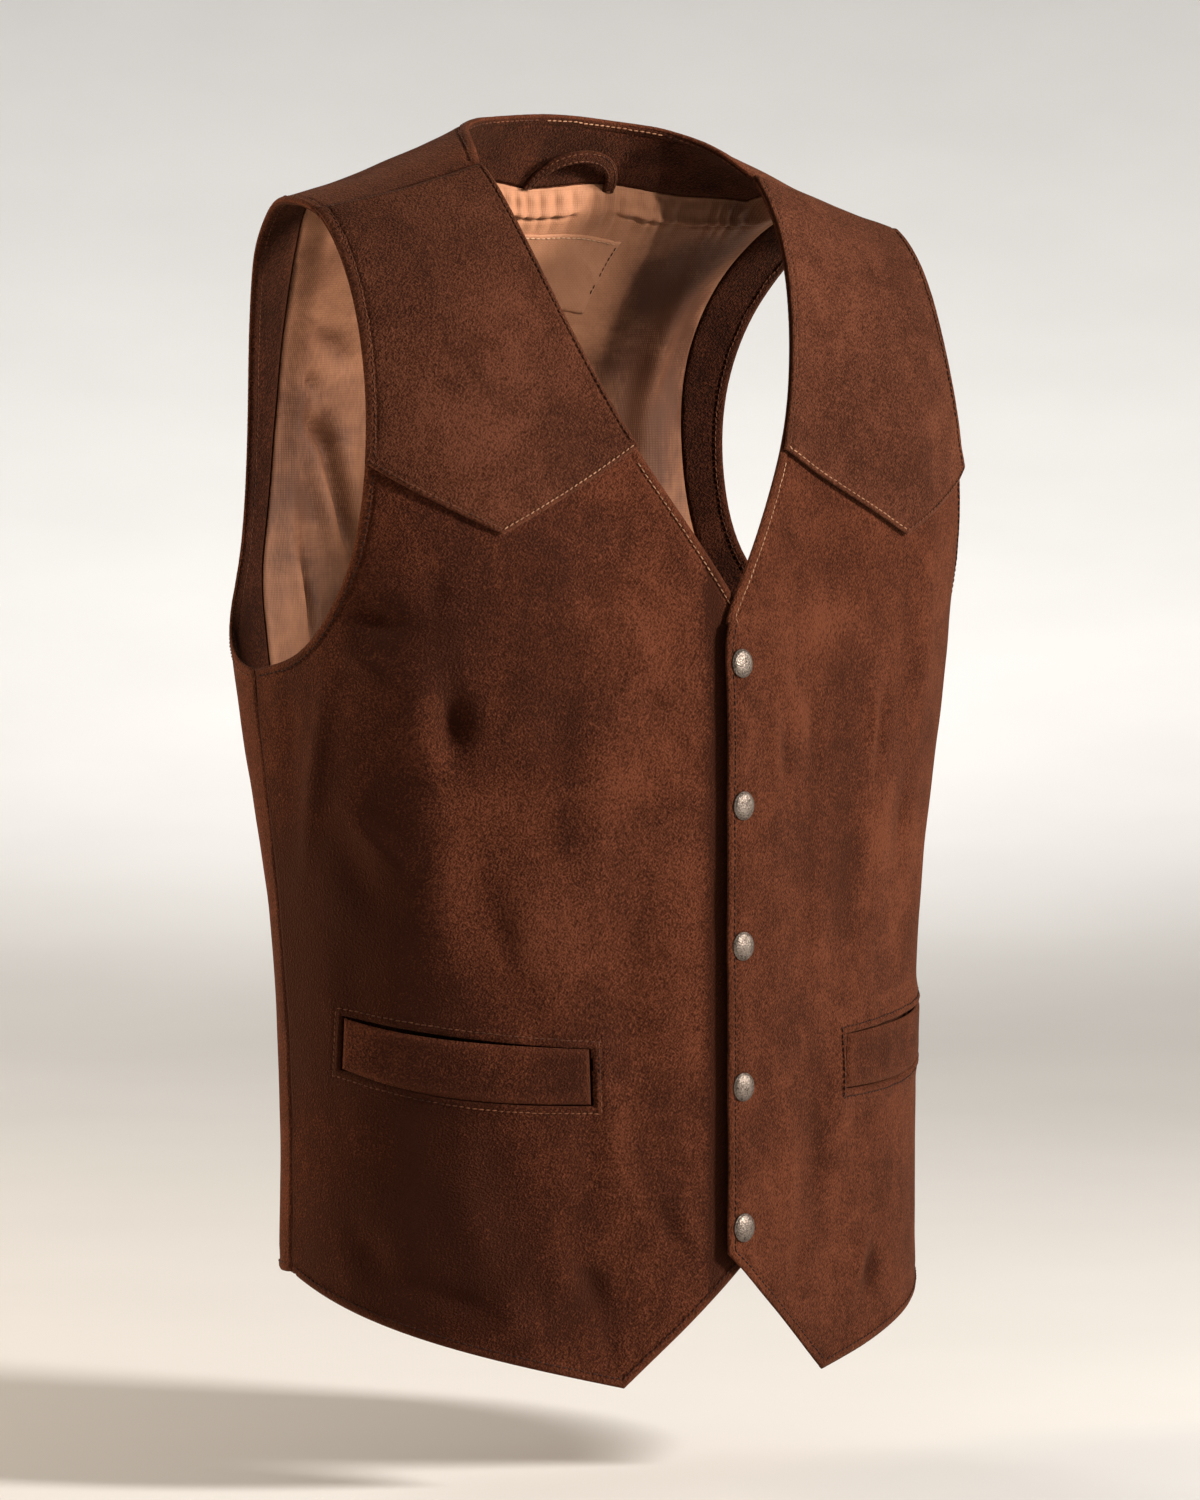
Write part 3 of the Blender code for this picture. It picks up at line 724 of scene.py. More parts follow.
def object_from(bm, name, material):
    """A smooth object with its place in its mesh."""
    for face in bm.faces:
        face.smooth = True
    mesh = bpy.data.meshes.new(name)
    bm.to_mesh(mesh)
    bm.free()
    mesh.materials.append(material)
    item = bpy.data.objects.new(name, mesh)
    bpy.context.scene.collection.objects.link(item)
    return item


def piece_from(bm, name, material):
    """A finished piece that rides on the part."""
    piece = object_from(bm, name, material)
    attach(piece, "root")
    return piece


def bend(panel, crease, side, place):
    """How far one crease of a panel moves the cloth out at a place."""
    run = place.y if panel.startswith("side") else side * place.x
    across, up = run - crease.x, place.z - crease.height
    if abs(across) + abs(up) > CREASE_REACH * (crease.length + crease.width):
        return 0.0
    turn = math.radians(crease.degrees)
    along = across * math.cos(turn) + up * math.sin(turn)
    off = up * math.cos(turn) - across * math.sin(turn)
    return crease.depth * hump(along, 0.0, crease.length) * hump(off, 0.0, crease.width)


def crease_at(panel, side, place):
    """How far the listed creases of a panel move the cloth out at a place."""
    return sum(bend(panel, crease, side, place) for crease in CREASES.get(panel, ()))


def nap_light_and_shade_at(panel, side, place):
    """How much lighter the listed patches make a place of a panel, as suede tone and as painted light and
    shade.
    """
    tone = 0.0
    for nap_light_and_shade in NAP_LIGHT_AND_SHADE.get(panel, ()):
        tone += nap_light_and_shade.tone * hump(side * place.x, nap_light_and_shade.x, nap_light_and_shade.wide) * hump(place.z, nap_light_and_shade.height, nap_light_and_shade.tall)
    return tone


def unevenness(place, seed):
    """Soft waves and ripples that hang down the cloth."""
    wave = Vector((place.x, place.y, WAVE_HANG * place.z)) / WAVE_WIDE + Vector((seed, 0, 0))
    ripple = Vector((place.x, place.y, RIPPLE_HANG * place.z)) / RIPPLE_WIDE + Vector((0, seed, 0))
    return WAVE_TALL * noise.noise(wave) + RIPPLE_TALL * noise.noise(ripple)


def turned_edge(distance, stitch):
    """Relief of a turned edge with a row of stitches beside it."""
    drop = EDGE_DROP * fade(EDGE_ROUND, distance)
    puff = EDGE_PUFF * hump(distance, EDGE_PUFF_AT * stitch, EDGE_PUFF_WIDE * stitch)
    dent = STITCH_DENT * hump(distance, stitch, STITCH_DENT_WIDE)
    return puff - drop - dent


def seam_edge(distance):
    return -SEAM_DROP * fade(SEAM_ROUND, distance)


def pucker(place, distance, stitch):
    """Small puckers that a row of stitches draws into the cloth."""
    return PUCKER * noise.noise(place / PUCKER_SIZE) * hump(distance, stitch, PUCKER_WIDE * stitch)


# Sewing


def paced(run, pitch):
    """Places along a run of points at even steps, with the way along and the way out."""
    made, ahead = [], pitch / 2
    for (start, out), (end, _) in zip(run, run[1:]):
        span = (end - start).length
        if span > RUN_BREAK * pitch:
            continue
        while ahead < span:
            made.append((start.lerp(end, ahead / span), (end - start).normalized(), out))
            ahead += pitch
        ahead -= span
    return made


def sew(name, runs, material):
    """A row of short stitches along each run, as one piece."""
    stitches = [stitch for run in runs for stitch in paced(run, STITCH_PITCH)]
    size = Matrix.Diagonal((THREAD / 2, THREAD / 2, STITCH_LENGTH / 2, 1))
    whole = bmesh.new()
    batch = bpy.data.meshes.new("stitches")
    for first in range(0, len(stitches), STITCH_BATCH):
        bm = bmesh.new()
        for place, along, out in stitches[first : first + STITCH_BATCH]:
            slant = (along + out.cross(along).normalized() * STITCH_SLANT).normalized()
            turn = Matrix((out.cross(slant).normalized(), out, slant)).transposed().to_4x4()
            matrix = Matrix.Translation(place + out * THREAD_LIFT) @ turn @ size
            bmesh.ops.create_uvsphere(bm, u_segments=6, v_segments=5, radius=1, matrix=matrix)
        bm.to_mesh(batch)
        bm.free()
        whole.from_mesh(batch)
    bpy.data.meshes.remove(batch)
    return piece_from(whole, name, material)


# Finishes


def fill(tree, socket, value):
    """Links a socket to another one, or sets it to a value."""
    if isinstance(value, bpy.types.NodeSocket):
        tree.links.new(value, socket)
    else:
        socket.default_value = value


def add_node(tree, kind, inputs=None, **settings):
    """A node with its settings, its inputs set to values or linked to sockets."""
    made = tree.nodes.new(kind)
    for key, value in settings.items():
        setattr(made, key, value)
    for key, value in (inputs or {}).items():
        fill(tree, made.inputs[key], value)
    return made


def new_finish(name, roughness, specular=0.5, **values):
    """A material and its shader with even values on its own sockets."""
    material = bpy.data.materials.new(name)
    material.use_nodes = True
    tree = material.node_tree
    shader = tree.nodes["Principled BSDF"]
    shader.inputs["Roughness"].default_value = roughness
    shader.inputs["Specular IOR Level"].default_value = specular
    for key, value in values.items():
        shader.inputs[key.replace("_", " ").title()].default_value = value
    place = tree.nodes.new("ShaderNodeTexCoord").outputs["Object"]
    return material, tree, shader, place


def cover(tree, shader, **looks):
    """Links what varies over a surface to the sockets of its shader."""
    for key, socket in looks.items():
        tree.links.new(socket, shader.inputs[key.replace("_", " ").title()])


def sized(tree, place, size, turn=(0, 0, 0)):
    """Coordinates that count in steps of a size along each of three turned axes."""
    inputs = {"Vector": place, "Scale": size, "Rotation": turn}
    return add_node(tree, "ShaderNodeMapping", inputs, vector_type="TEXTURE").outputs["Vector"]


def cloud(tree, place, scale=1.0, detail=3.0, roughness=0.6, distortion=0.0):
    inputs = {
        "Vector": place,
        "Scale": scale,
        "Detail": detail,
        "Roughness": roughness,
        "Distortion": distortion,
    }
    return add_node(tree, "ShaderNodeTexNoise", inputs).outputs["Fac"]


def noted(tree, name):
    """What was noted at the points of a sheet under a name."""
    return add_node(tree, "ShaderNodeAttribute", attribute_name=name).outputs["Fac"]


def maths(tree, operation, *values):
    made = add_node(tree, "ShaderNodeMath", operation=operation)
    for socket, value in zip(made.inputs, values):
        fill(tree, socket, value)
    return made.outputs["Value"]


def weighed(tree, *parts, start=0.0):
    """The sum of some factors, each times its weight."""
    total = start
    for factor, weight in parts:
        total = maths(tree, "MULTIPLY_ADD", factor, weight, total)
    return total


def ramp(tree, factor, *stops):
    """Colours or greys along a factor, each stop a place and a colour."""
    made = add_node(tree, "ShaderNodeValToRGB", {"Fac": factor})
    elements = made.color_ramp.elements
    while len(elements) < len(stops):
        elements.new(0.5)
    for element, (at, colour) in zip(elements, stops):
        element.position = at
        element.color = (*colour, 1.0) if isinstance(colour, tuple) else (colour, colour, colour, 1.0)
    return made.outputs["Color"]


def mixed(tree, factor, first, second):
    """One colour over another by a factor."""
    made = add_node(tree, "ShaderNodeMix", data_type="RGBA")
    for i, value in ((0, factor), (6, first), (7, (*second, 1.0))):
        fill(tree, made.inputs[i], value)
    return made.outputs[2]


def bumped(tree, *layers):
    """A chain of bumps, each a height with its distance in metres."""
    normal = None
    for height, distance in layers:
        inputs = {"Height": height, "Distance": distance, "Strength": 1.0}
        if normal:
            inputs["Normal"] = normal
        normal = add_node(tree, "ShaderNodeBump", inputs).outputs["Normal"]
    return normal


def suede_finish(name, deep, main, worn, shift=0.0):
    """Brushed faux suede: cloudy mottle, soft streaks, short slanting fibres and rubbed edges, with the
    painted light and shade that its points note.
    """
    material, tree, shader, place = new_finish(
        name,
        roughness=0.92,
        specular=0.06,
        sheen_weight=0.08,
        sheen_roughness=0.5,
        sheen_tint=(0.90, 0.42, 0.22, 1.0),
    )
    apart = {"Vector": place, "Location": (shift, 0.7 * shift, 0.3 * shift)}
    place = add_node(tree, "ShaderNodeMapping", apart).outputs["Vector"]
    clouds = cloud(tree, place, scale=11, roughness=0.55, distortion=0.6)
    patches = cloud(tree, place, scale=40, detail=4, distortion=1.0)
    hanging = sized(tree, place, size=(0.013, 0.013, 0.050), turn=(0, 0.15, 0))
    streaks = cloud(tree, hanging, distortion=0.4)
    upward = sized(tree, place, size=(0.0007, 0.0011, 0.0021), turn=(0, 0.75, 0))
    rising = cloud(tree, upward, detail=1, roughness=0.5)
    downward = sized(tree, place, size=(0.0008, 0.0011, 0.0019), turn=(0, -0.85, 0))
    falling = cloud(tree, downward, detail=1, roughness=0.5)
    grain = cloud(tree, place, scale=900, detail=2)
    fibres = weighed(tree, (rising, 0.42), (falling, 0.30), (grain, 0.36))
    mottle = weighed(tree, (clouds, 0.34), (patches, 0.36), (streaks, 0.16), start=-0.52)
    # The noted tone carries painted light and shade as well as nap tone
    tone = weighed(tree, (fibres, 1.3), (noted(tree, "nap_light_and_shade"), 0.50), start=mottle)
    colour = ramp(tree, tone, (0.44, deep), (0.60, main), (0.78, worn))
    rubbed = maths(tree, "MULTIPLY", noted(tree, "edge"), maths(tree, "MULTIPLY", clouds, 0.45))
    cover(
        tree,
        shader,
        base_color=mixed(tree, rubbed, colour, worn),
        roughness=ramp(tree, clouds, (0.3, 0.84), (0.7, 0.98)),
        normal=bumped(tree, (fibres, 0.0022)),
    )
    return material


def lining_finish(name, deep, main, light):
    """Plain woven lining with a soft satin face and faint cloudy shade, and the painted light and shade that
    its points note.
    """
    material, tree, shader, place = new_finish(
        name,
        roughness=0.62,
        specular=0.16,
        sheen_weight=0.06,
        sheen_roughness=0.4,
        sheen_tint=(1.0, 0.75, 0.55, 1.0),
    )
    clouds = cloud(tree, place, scale=22, detail=4, distortion=0.5)
    inputs = {"Vector": place, "Scale": 330, "Distortion": 1.2, "Detail": 2.0}
    across = add_node(tree, "ShaderNodeTexWave", inputs, bands_direction="X").outputs["Fac"]
    along = add_node(tree, "ShaderNodeTexWave", inputs, bands_direction="Z").outputs["Fac"]
    weave = maths(tree, "MULTIPLY", across, along)
    slubs = cloud(tree, sized(tree, place, size=(0.0011, 0.0011, 0.016)), detail=2, roughness=0.5)
    # The noted tone carries painted light and shade
    tone = weighed(tree, (clouds, 0.7), (weave, 0.14), (slubs, 0.16), (noted(tree, "nap_light_and_shade"), 0.36))
    cover(
        tree,
        shader,
        base_color=ramp(tree, tone, (0.10, deep), (0.50, main), (0.75, light)),
        roughness=ramp(tree, clouds, (0.3, 0.52), (0.7, 0.70)),
        normal=bumped(tree, (clouds, 0.0009), (weave, 0.00010), (slubs, 0.00012)),
    )
    return material


def thread_finish(name, deep, light):
    """Twisted sewing thread, darker and lighter in fine and broad random spots."""
    material, tree, shader, place = new_finish(name, roughness=0.8, specular=0.15)
    fuzz = cloud(tree, place, scale=700, detail=2)
    worn = cloud(tree, place, scale=40)
    tone = weighed(tree, (fuzz, 0.45), (worn, 0.55))
    cover(
        tree,
        shader,
        base_color=ramp(tree, tone, (0.38, deep), (0.62, light)),
        roughness=ramp(tree, fuzz, (0.3, 0.6), (0.7, 0.8)),
        normal=bumped(tree, (fuzz, 0.0002)),
    )
    return material


def snap_finish(name, stained, dull, bright):
    """Antiqued silver, pitted, with dark stain in its pits."""
    material, tree, shader, place = new_finish(name, roughness=0.4, metallic=1.0)
    inputs = {"Vector": place, "Scale": 1250, "Smoothness": 0.6}
    pits = add_node(tree, "ShaderNodeTexVoronoi", inputs, feature="SMOOTH_F1").outputs["Distance"]
    speckle = cloud(tree, place, scale=1300, detail=2)
    stain = cloud(tree, place, scale=260, distortion=0.4)
    dirt = weighed(tree, (speckle, 0.6), (stain, 0.4))
    cover(
        tree,
        shader,
        base_color=ramp(tree, dirt, (0.38, stained), (0.47, dull), (0.62, bright)),
        roughness=ramp(tree, dirt, (0.38, 0.62), (0.60, 0.44)),
        normal=bumped(tree, (pits, 0.00022), (stain, 0.00016)),
    )
    return material


SUEDE_BODY = suede_finish(
    "body suede",
    deep=(0.030, 0.0074, 0.0030),
    main=(0.066, 0.0176, 0.0076),
    worn=(0.122, 0.0362, 0.0169),
)
# The left front and its welt: the body suede a little darker, painted shade that offsets the key light on
# that side, with its own mottle
SUEDE_LEFT_SHADED = suede_finish(
    "left suede",
    deep=(0.030, 0.0074, 0.0030),
    main=(0.061, 0.0161, 0.0068),
    worn=(0.110, 0.0323, 0.0146),
    shift=0.4,
)
SUEDE_YOKE = suede_finish(
    "yoke suede",
    deep=(0.029, 0.0080, 0.0036),
    main=(0.062, 0.0182, 0.0085),
    worn=(0.112, 0.0366, 0.0185),
    shift=0.9,
)
# Facings and the hanger loop: suede darker than the body, partly its own colour and partly painted shade for
# where they lie in shadow
SUEDE_FACING_SHADED = suede_finish(
    "facing suede",
    deep=(0.009, 0.0023, 0.0010),
    main=(0.026, 0.0068, 0.0030),
    worn=(0.066, 0.0185, 0.0085),
    shift=1.4,
)
# The pocket's inside, which lines the sunk slit: suede darker than the body, partly painted shade
POCKET_INSIDE_SHADED = suede_finish(
    "pocket inside",
    deep=(0.014, 0.0040, 0.0018),
    main=(0.026, 0.0076, 0.0035),
    worn=(0.040, 0.0125, 0.0060),
)
# The lining's deep colour is mostly what painted shade darkens it to
LINING_CLOTH = lining_finish(
    "lining cloth",
    deep=(0.090, 0.032, 0.0145),
    main=(0.385, 0.174, 0.091),
    light=(0.455, 0.230, 0.130),
)
PATCH_CLOTH = lining_finish(
    "patch cloth",
    deep=(0.227, 0.095, 0.046),
    main=(0.385, 0.178, 0.096),
    light=(0.455, 0.228, 0.130),
)
THREAD_PALE = thread_finish("pale thread", (0.300, 0.160, 0.090), (0.520, 0.340, 0.215))
THREAD_TAN = thread_finish("tan thread", (0.190, 0.080, 0.040), (0.480, 0.255, 0.145))
THREAD_RUST = thread_finish("rust thread", (0.090, 0.0300, 0.0135), (0.250, 0.0980, 0.0460))
THREAD_BROWN = thread_finish("brown thread", (0.012, 0.0038, 0.0018), (0.165, 0.0580, 0.0270))
# Dark thread, partly its own colour and partly painted shade for the shadowed stitch holes
THREAD_DARK = thread_finish("dark thread", (0.010, 0.0032, 0.0016), (0.036, 0.0114, 0.0055))
SNAP_METAL = snap_finish(
    "snap metal",
    stained=(0.045, 0.034, 0.027),
    dull=(0.140, 0.112, 0.093),
    bright=(0.215, 0.178, 0.152),
)


# Pocket windows


class Window:
    """The opening that a welt fills. Its upper side sags a little and its lower side more."""

    def __init__(self, welt):
        bm = wall_face(welt)
        bm.normal_update()
        corners = [vert for vert in bm.verts if outline_turn(vert) > WINDOW_TURN]
        self.out = sum((vert.normal for vert in corners), Vector()).normalized()
        places = sorted((vert.co.copy() for vert in corners), key=lambda p: p.z)
        self.welt = BVHTree.FromBMesh(bm)
        bm.free()
        self.middle = sum(places, Vector()) / len(places)
        inner_low, outer_low = sorted(places[:2], key=lambda p: abs(p.x))
        inner_high, outer_high = sorted(places[2:], key=lambda p: abs(p.x))
        ring = (inner_low, outer_low, outer_high, inner_high)
        self.ring = []
        for i, place in enumerate(ring):
            before, after = ring[i - 1], ring[(i + 1) % len(ring)]
            away = (place - before).normalized() + (place - after).normalized()
            self.ring.append(place + away * WINDOW_GAP)

    def sides(self):
        """Each side as its start, its end and the way out of the window along the cloth."""
        made = []
        for i, start in enumerate(self.ring):
            end = self.ring[(i + 1) % len(self.ring)]
            away = (end - start).cross(self.out).normalized()
            if away.dot(start - self.middle) < 0:
                away.negate()
            made.append((start, end, away))
        return made

    def near(self, place, reach):
        return self.welt.find_nearest(place, reach)[0] is not None

    def distance(self, place):
        """Distance outside the straight sides, below zero inside them."""
        if not self.near(place, WINDOW_REACH):
            return 1.0
        return max((place - start).dot(away) for start, _, away in self.sides())

    def within(self, place):
        """How far along the window a place lies, how far up it, and the way up."""
        inner_low, outer_low, outer_high, inner_high = self.ring
        span = outer_low - inner_low
        share = min(max((place - inner_low).dot(span) / span.length_squared, 0.0), 1.0)
        foot = inner_low.lerp(outer_low, share)
        tall = inner_high.lerp(outer_high, share) - foot
        return share, (place - foot).dot(tall) / tall.length_squared, tall.normalized()

    def lift(self, place):
        """How the welt's top rises towards its middle, so that only a thin slit is left."""
        share, rise, up = self.within(place)
        return WELT_RISE * math.sin(math.pi * share) * ease(*WELT_RISE_FROM, rise) * up

    def sag(self, place):
        """How the cloth sinks at a place: most at the middle of the lower side."""
        share, rise, up = self.within(place)
        sunk = (1 - WINDOW_TOP_SAG) * ease(*SAG_LOW, rise) + WINDOW_TOP_SAG * ease(*SAG_HIGH, rise)
        return -WINDOW_SAG * math.sin(math.pi * share) * sunk * ease(*SAG_FOOT, rise) * up

    def cut(self, sheet):
        """Cuts the straight sides into the cloth."""
        bm = sheet.bm
        for reach in WINDOW_FINE:
            halve(bm, lambda place: self.near(place, reach))
        for start, _, away in self.sides():
            faces = [face for face in bm.faces if self.near(face.calc_center_median(), WINDOW_CUT)]
            geom = list({item for face in faces for item in (face, *face.edges, *face.verts)})
            bmesh.ops.bisect_plane(bm, geom=geom, dist=MERGE, plane_co=start, plane_no=away)

    def relief(self, place):
        """How the cloth round the window stands up, rolls in and is dented by its stitches."""
        gap = self.distance(place)
        if gap >= 2 * WINDOW_LIP_WIDE:
            return 0.0
        lip = WINDOW_LIP * fade(WINDOW_LIP_WIDE, max(gap, 0.0))
        puff = WINDOW_PUFF * hump(gap, WINDOW_ROLL_WIDE, WINDOW_ROLL_WIDE)
        roll = WINDOW_ROLL * fade(WINDOW_ROLL_WIDE, gap)
        dent = STITCH_DENT * hump(gap, WINDOW_STITCH, STITCH_DENT_WIDE)
        return lip + puff - roll - dent

    def sink(self, sheet):
        """Pushes the cloth inside the window back, so that the welt stands over a dark slit whose sunk faces
        take the pocket's dark inside finish, partly painted shade.
        """
        bm = sheet.bm
        bm.normal_update()
        inside = [face for face in bm.faces if self.distance(face.calc_center_median()) < WINDOW_INSIDE]
        grown = bmesh.ops.extrude_face_region(bm, geom=inside)
        moved = [item for item in grown["geom"] if isinstance(item, bmesh.types.BMVert)]
        bmesh.ops.translate(bm, verts=moved, vec=-self.out * WINDOW_DEPTH)
        # The sunk faces take the pocket's dark inside finish, partly painted shade
        for item in grown["geom"]:
            if isinstance(item, bmesh.types.BMFace):
                item.material_index = 1
        bmesh.ops.delete(bm, geom=[face for face in inside if face.is_valid], context="FACES")
        for vert in bm.verts:
            if self.near(vert.co, WINDOW_REACH):
                vert.co += self.sag(vert.co)

    def runs(self, surface):
        """A run of points beside each side, for stitches, the lower one first."""
        made = []
        for start, end, away in self.sides():
            along = (end - start).normalized()
            first, last = start + (away - along) * WINDOW_STITCH, end + (away + along) * WINDOW_STITCH
            count = max(2, int((last - first).length / WINDOW_RUN_STEP))
            run = []
            for k in range(count + 1):
                spot = first.lerp(last, k / count)
                ahead = spot + self.sag(spot) + self.out * WINDOW_AHEAD
                found = surface.ray_cast(ahead, -self.out, 2 * WINDOW_AHEAD)
                if found[0]:
                    run.append((found[0], found[1]))
            made.append(run)
        return made


# Pieces


def add_front(word, side, material):
    node, welt, yoke, flank = f"front_{word}", f"pocket_welt_{word}", f"yoke_{word}", f"side_{word}"
    sheet = Sheet(node, sewn_to=["back"])
    sheet.refine_edges(PANEL_FINE, times=2)
    sheet.refine_creases([node, flank], side)
    window = Window(welt)
    window.cut(sheet)
    caps = snap_places() if side == LEFT else []
    covered = node_rim(yoke)

    def shape(place):
        distance = distance_to(sheet.free, place)
        out = sheet.edges(place, distance, EDGE_STITCH)
        calm = ease(0.0, FRONT_CALM, distance)
        creases = crease_at(node, side, place) + crease_at(flank, side, place)
        out += (EDGE_CREASE + (1 - EDGE_CREASE) * calm) * creases
        out += calm * (crease_at(yoke, side, place) + unevenness(place, FRONT_SEED * side))
        if side == LEFT and place.z < VEE_LOW:
            out += LAP_CURL * (1 - ease(-LAP, LAP_CURL_WIDE - LAP, place.x))
        for cap in caps:
            out -= CAP_DIMPLE * hump((place - cap).length, 0.0, CAP_DIMPLE_WIDE)
        return out + window.relief(place)

    sheet.brush(side)
    sheet.move(shape)
    window.sink(sheet)
    surface = sheet.surface()

    def bare(place):
        return sheet.is_free(place) and distance_to(covered, place) > 2 * SEAM_REACH

    def in_vee(place):
        return bare(place) and place.z > VEE_LOW and abs(place.x) < VEE_WIDE

    edge_runs = sheet.run_beside(EDGE_STITCH, lambda p: bare(p) and not in_vee(p), surface)
    vee_runs = sheet.run_beside(EDGE_STITCH, in_vee, surface)
    low, *others = window.runs(surface)
    half = len(low) // 2
    around, under = (THREAD_BROWN, THREAD_RUST) if side == RIGHT else (THREAD_DARK, THREAD_DARK)
    stitches = sew(f"{node}_stitches", edge_runs, THREAD_DARK)
    vee = sew(f"{node}_neck_stitches", vee_runs, THREAD_TAN)
    pocket = sew(f"pocket_{word}_stitches", [low[half - 1 :], *others], around)
    pale = sew(f"pocket_{word}_pale_stitches", [low[:half]], under)
    piece = sheet.finish(material, SUEDE)
    piece.data.materials.append(POCKET_INSIDE_SHADED)
    return surface


def add_yoke(word, side):
    node = f"yoke_{word}"
    sheet = Sheet(node, sewn_to=["back"])
    sheet.refine_edges(YOKE_FINE, times=2)
    points = rim_points(sheet.bm)
    tip = min(points, key=lambda p: p.z)
    neck_end = min(points, key=lambda p: abs(p.x))
    rise = (neck_end.z - tip.z) / abs(neck_end.x - tip.x)

    def is_hem(place):
        return place.z < tip.z + rise * abs(place.x - tip.x) + SEAM_REACH

    low = tree_of([p for p in points if is_hem(p)])
    sides = tree_of([p for p in points if sheet.is_free(p) and not is_hem(p)])

    def shape(place):
        distance = distance_to(sheet.free, place)
        hem = distance_to(low, place)
        inner = hem < distance + YOKE_HEM_NEAR or abs(place.x) < YOKE_MIDDLE
        stitch = YOKE_STITCH if inner else EDGE_STITCH
        out = sheet.edges(place, distance, stitch)
        out += YOKE_LIFT * fade(YOKE_LIFT_WIDE, hem)
        calm = ease(0.0, FRONT_CALM, distance_to(sides, place))
        return out + calm * (crease_at(node, side, place) + unevenness(place, FRONT_SEED * side))

    sheet.brush(side)
    sheet.move(shape)
    surface = sheet.surface()

    def on_hem(place):
        return distance_to(low, place) < distance_to(sides, place)

    def towards_neck(place):
        return abs(place.x) < abs(tip.x)

    def at_neck(place):
        return sheet.is_free(place) and not on_hem(place) and towards_neck(place)

    def at_armhole(place):
        return sheet.is_free(place) and not on_hem(place) and not towards_neck(place)

    inner = sheet.run_beside(YOKE_STITCH, lambda p: on_hem(p) and towards_neck(p), surface)
    outer = sheet.run_beside(YOKE_STITCH, lambda p: on_hem(p) and not towards_neck(p), surface)
    neck = sheet.run_beside(YOKE_STITCH, at_neck, surface)
    armhole = sheet.run_beside(EDGE_STITCH, at_armhole, surface)
    pale = sew(f"{node}_pale_stitches", inner, THREAD_TAN)
    brown = sew(f"{node}_stitches", outer + neck + armhole, THREAD_BROWN)
    sheet.finish(SUEDE_YOKE, SUEDE)


def add_welt(word, side, material):
    node = f"pocket_welt_{word}"
    sheet = Sheet(node, levels=3)
    sheet.refine_edges(WELT_FINE)
    window = Window(node)

    def shape(place):
        distance = distance_to(sheet.rim, place)
        wave = WELT_WAVE * noise.noise(place / WELT_WAVE_WIDE) * ease(0.0, WELT_CALM, distance)
        return wave - WELT_DROP * fade(WELT_ROUND, distance)

    sheet.move(shape)
    sheet.brush(side)
    for vert in sheet.bm.verts:
        vert.co += window.lift(vert.co) - WELT_SINK * window.out
    sheet.finish(material, WELT)


def back_drape(place, distance):
    """How far the back's own creases move it out, less towards its free edges."""
    return ease(0.0, BACK_CALM, distance) * (crease_at("back", LEFT, place) + unevenness(place, BACK_SEED))


def add_back():
    sheet = Sheet("back", sewn_to=["front_right", "front_left"])
    sheet.refine_edges(PANEL_FINE, times=2)

    def shape(place):
        distance = distance_to(sheet.free, place)
        return sheet.edges(place, distance, EDGE_STITCH) + back_drape(place, distance)

    sheet.brush(LEFT)
    sheet.move(shape)
    runs = sheet.run_beside(EDGE_STITCH, sheet.is_free, sheet.surface())
    stitches = sew("back_stitches", runs, THREAD_BROWN)
    sheet.finish(SUEDE_BODY, SUEDE)
    return sheet.free


def add_facing(node, back):
    """A suede facing inside the neck or an armhole."""
    sheet = Sheet(node, inside=True)
    sheet.refine_edges(FACING_FINE)

    def outer(place):
        return distance_to(back, place) < FACING_EDGE

    def pale(place):
        return NECK_PALE[0] < place.x < NECK_PALE[1]

    def shape(place):
        distance = distance_to(sheet.rim, place)
        out = turned_edge(distance, EDGE_STITCH) if outer(place) else seam_edge(distance)
        stand = FACING_STAND + noise.noise(place / FACING_WAVE_WIDE)
        out += FACING_WAVE * stand * ease(0.0, FACING_CALM, distance)
        return out - back_drape(place, distance_to(back, place))

    sheet.move(shape)
    surface = sheet.surface()
    runs = sheet.run_beside(EDGE_STITCH, lambda p: outer(p) and not pale(p), surface)
    pieces = [sew(f"{node}_stitches", runs, THREAD_BROWN)]
    if node == "back_neck_facing":
        runs = sheet.run_beside(EDGE_STITCH, lambda p: outer(p) and pale(p), surface)
        pieces.append(sew(f"{node}_pale_stitches", runs, THREAD_TAN))
    sheet.finish(SUEDE_FACING_SHADED, FACING)


def drift(x, wide, seed):
    """A smooth change along the lining's top, below and above zero."""
    return noise.noise(Vector((x / wide, seed, 0.0)))


def gathers(place, below):
    """Uneven gathers that fall from the lining's top edge, and the tuck across them."""
    shifted = place.x / GATHER_WIDE + GATHER_DRIFT * drift(place.x, GATHER_DRIFT_WIDE, GATHER_DRIFT_SEED)
    pleat = abs(math.sin(math.pi * shifted))
    full = GATHER_LEAST + GATHER_MORE * abs(drift(place.x, GATHER_MORE_WIDE, GATHER_MORE_SEED))
    fall = math.exp(-below / GATHER_FALL) * ease(0.0, GATHER_TOP, below)
    groove = TUCK_GROOVE_SHARE * hump(below, TUCK_GROOVE, TUCK_GROOVE_WIDE)
    tuck = hump(below, TUCK_RIDGE, TUCK_RIDGE_WIDE) - groove
    held = ease(*TUCK_HELD, drift(place.x, TUCK_HELD_WIDE, TUCK_HELD_SEED))
    return GATHER_TALL * fall * full * pleat + TUCK_TALL * tuck * held


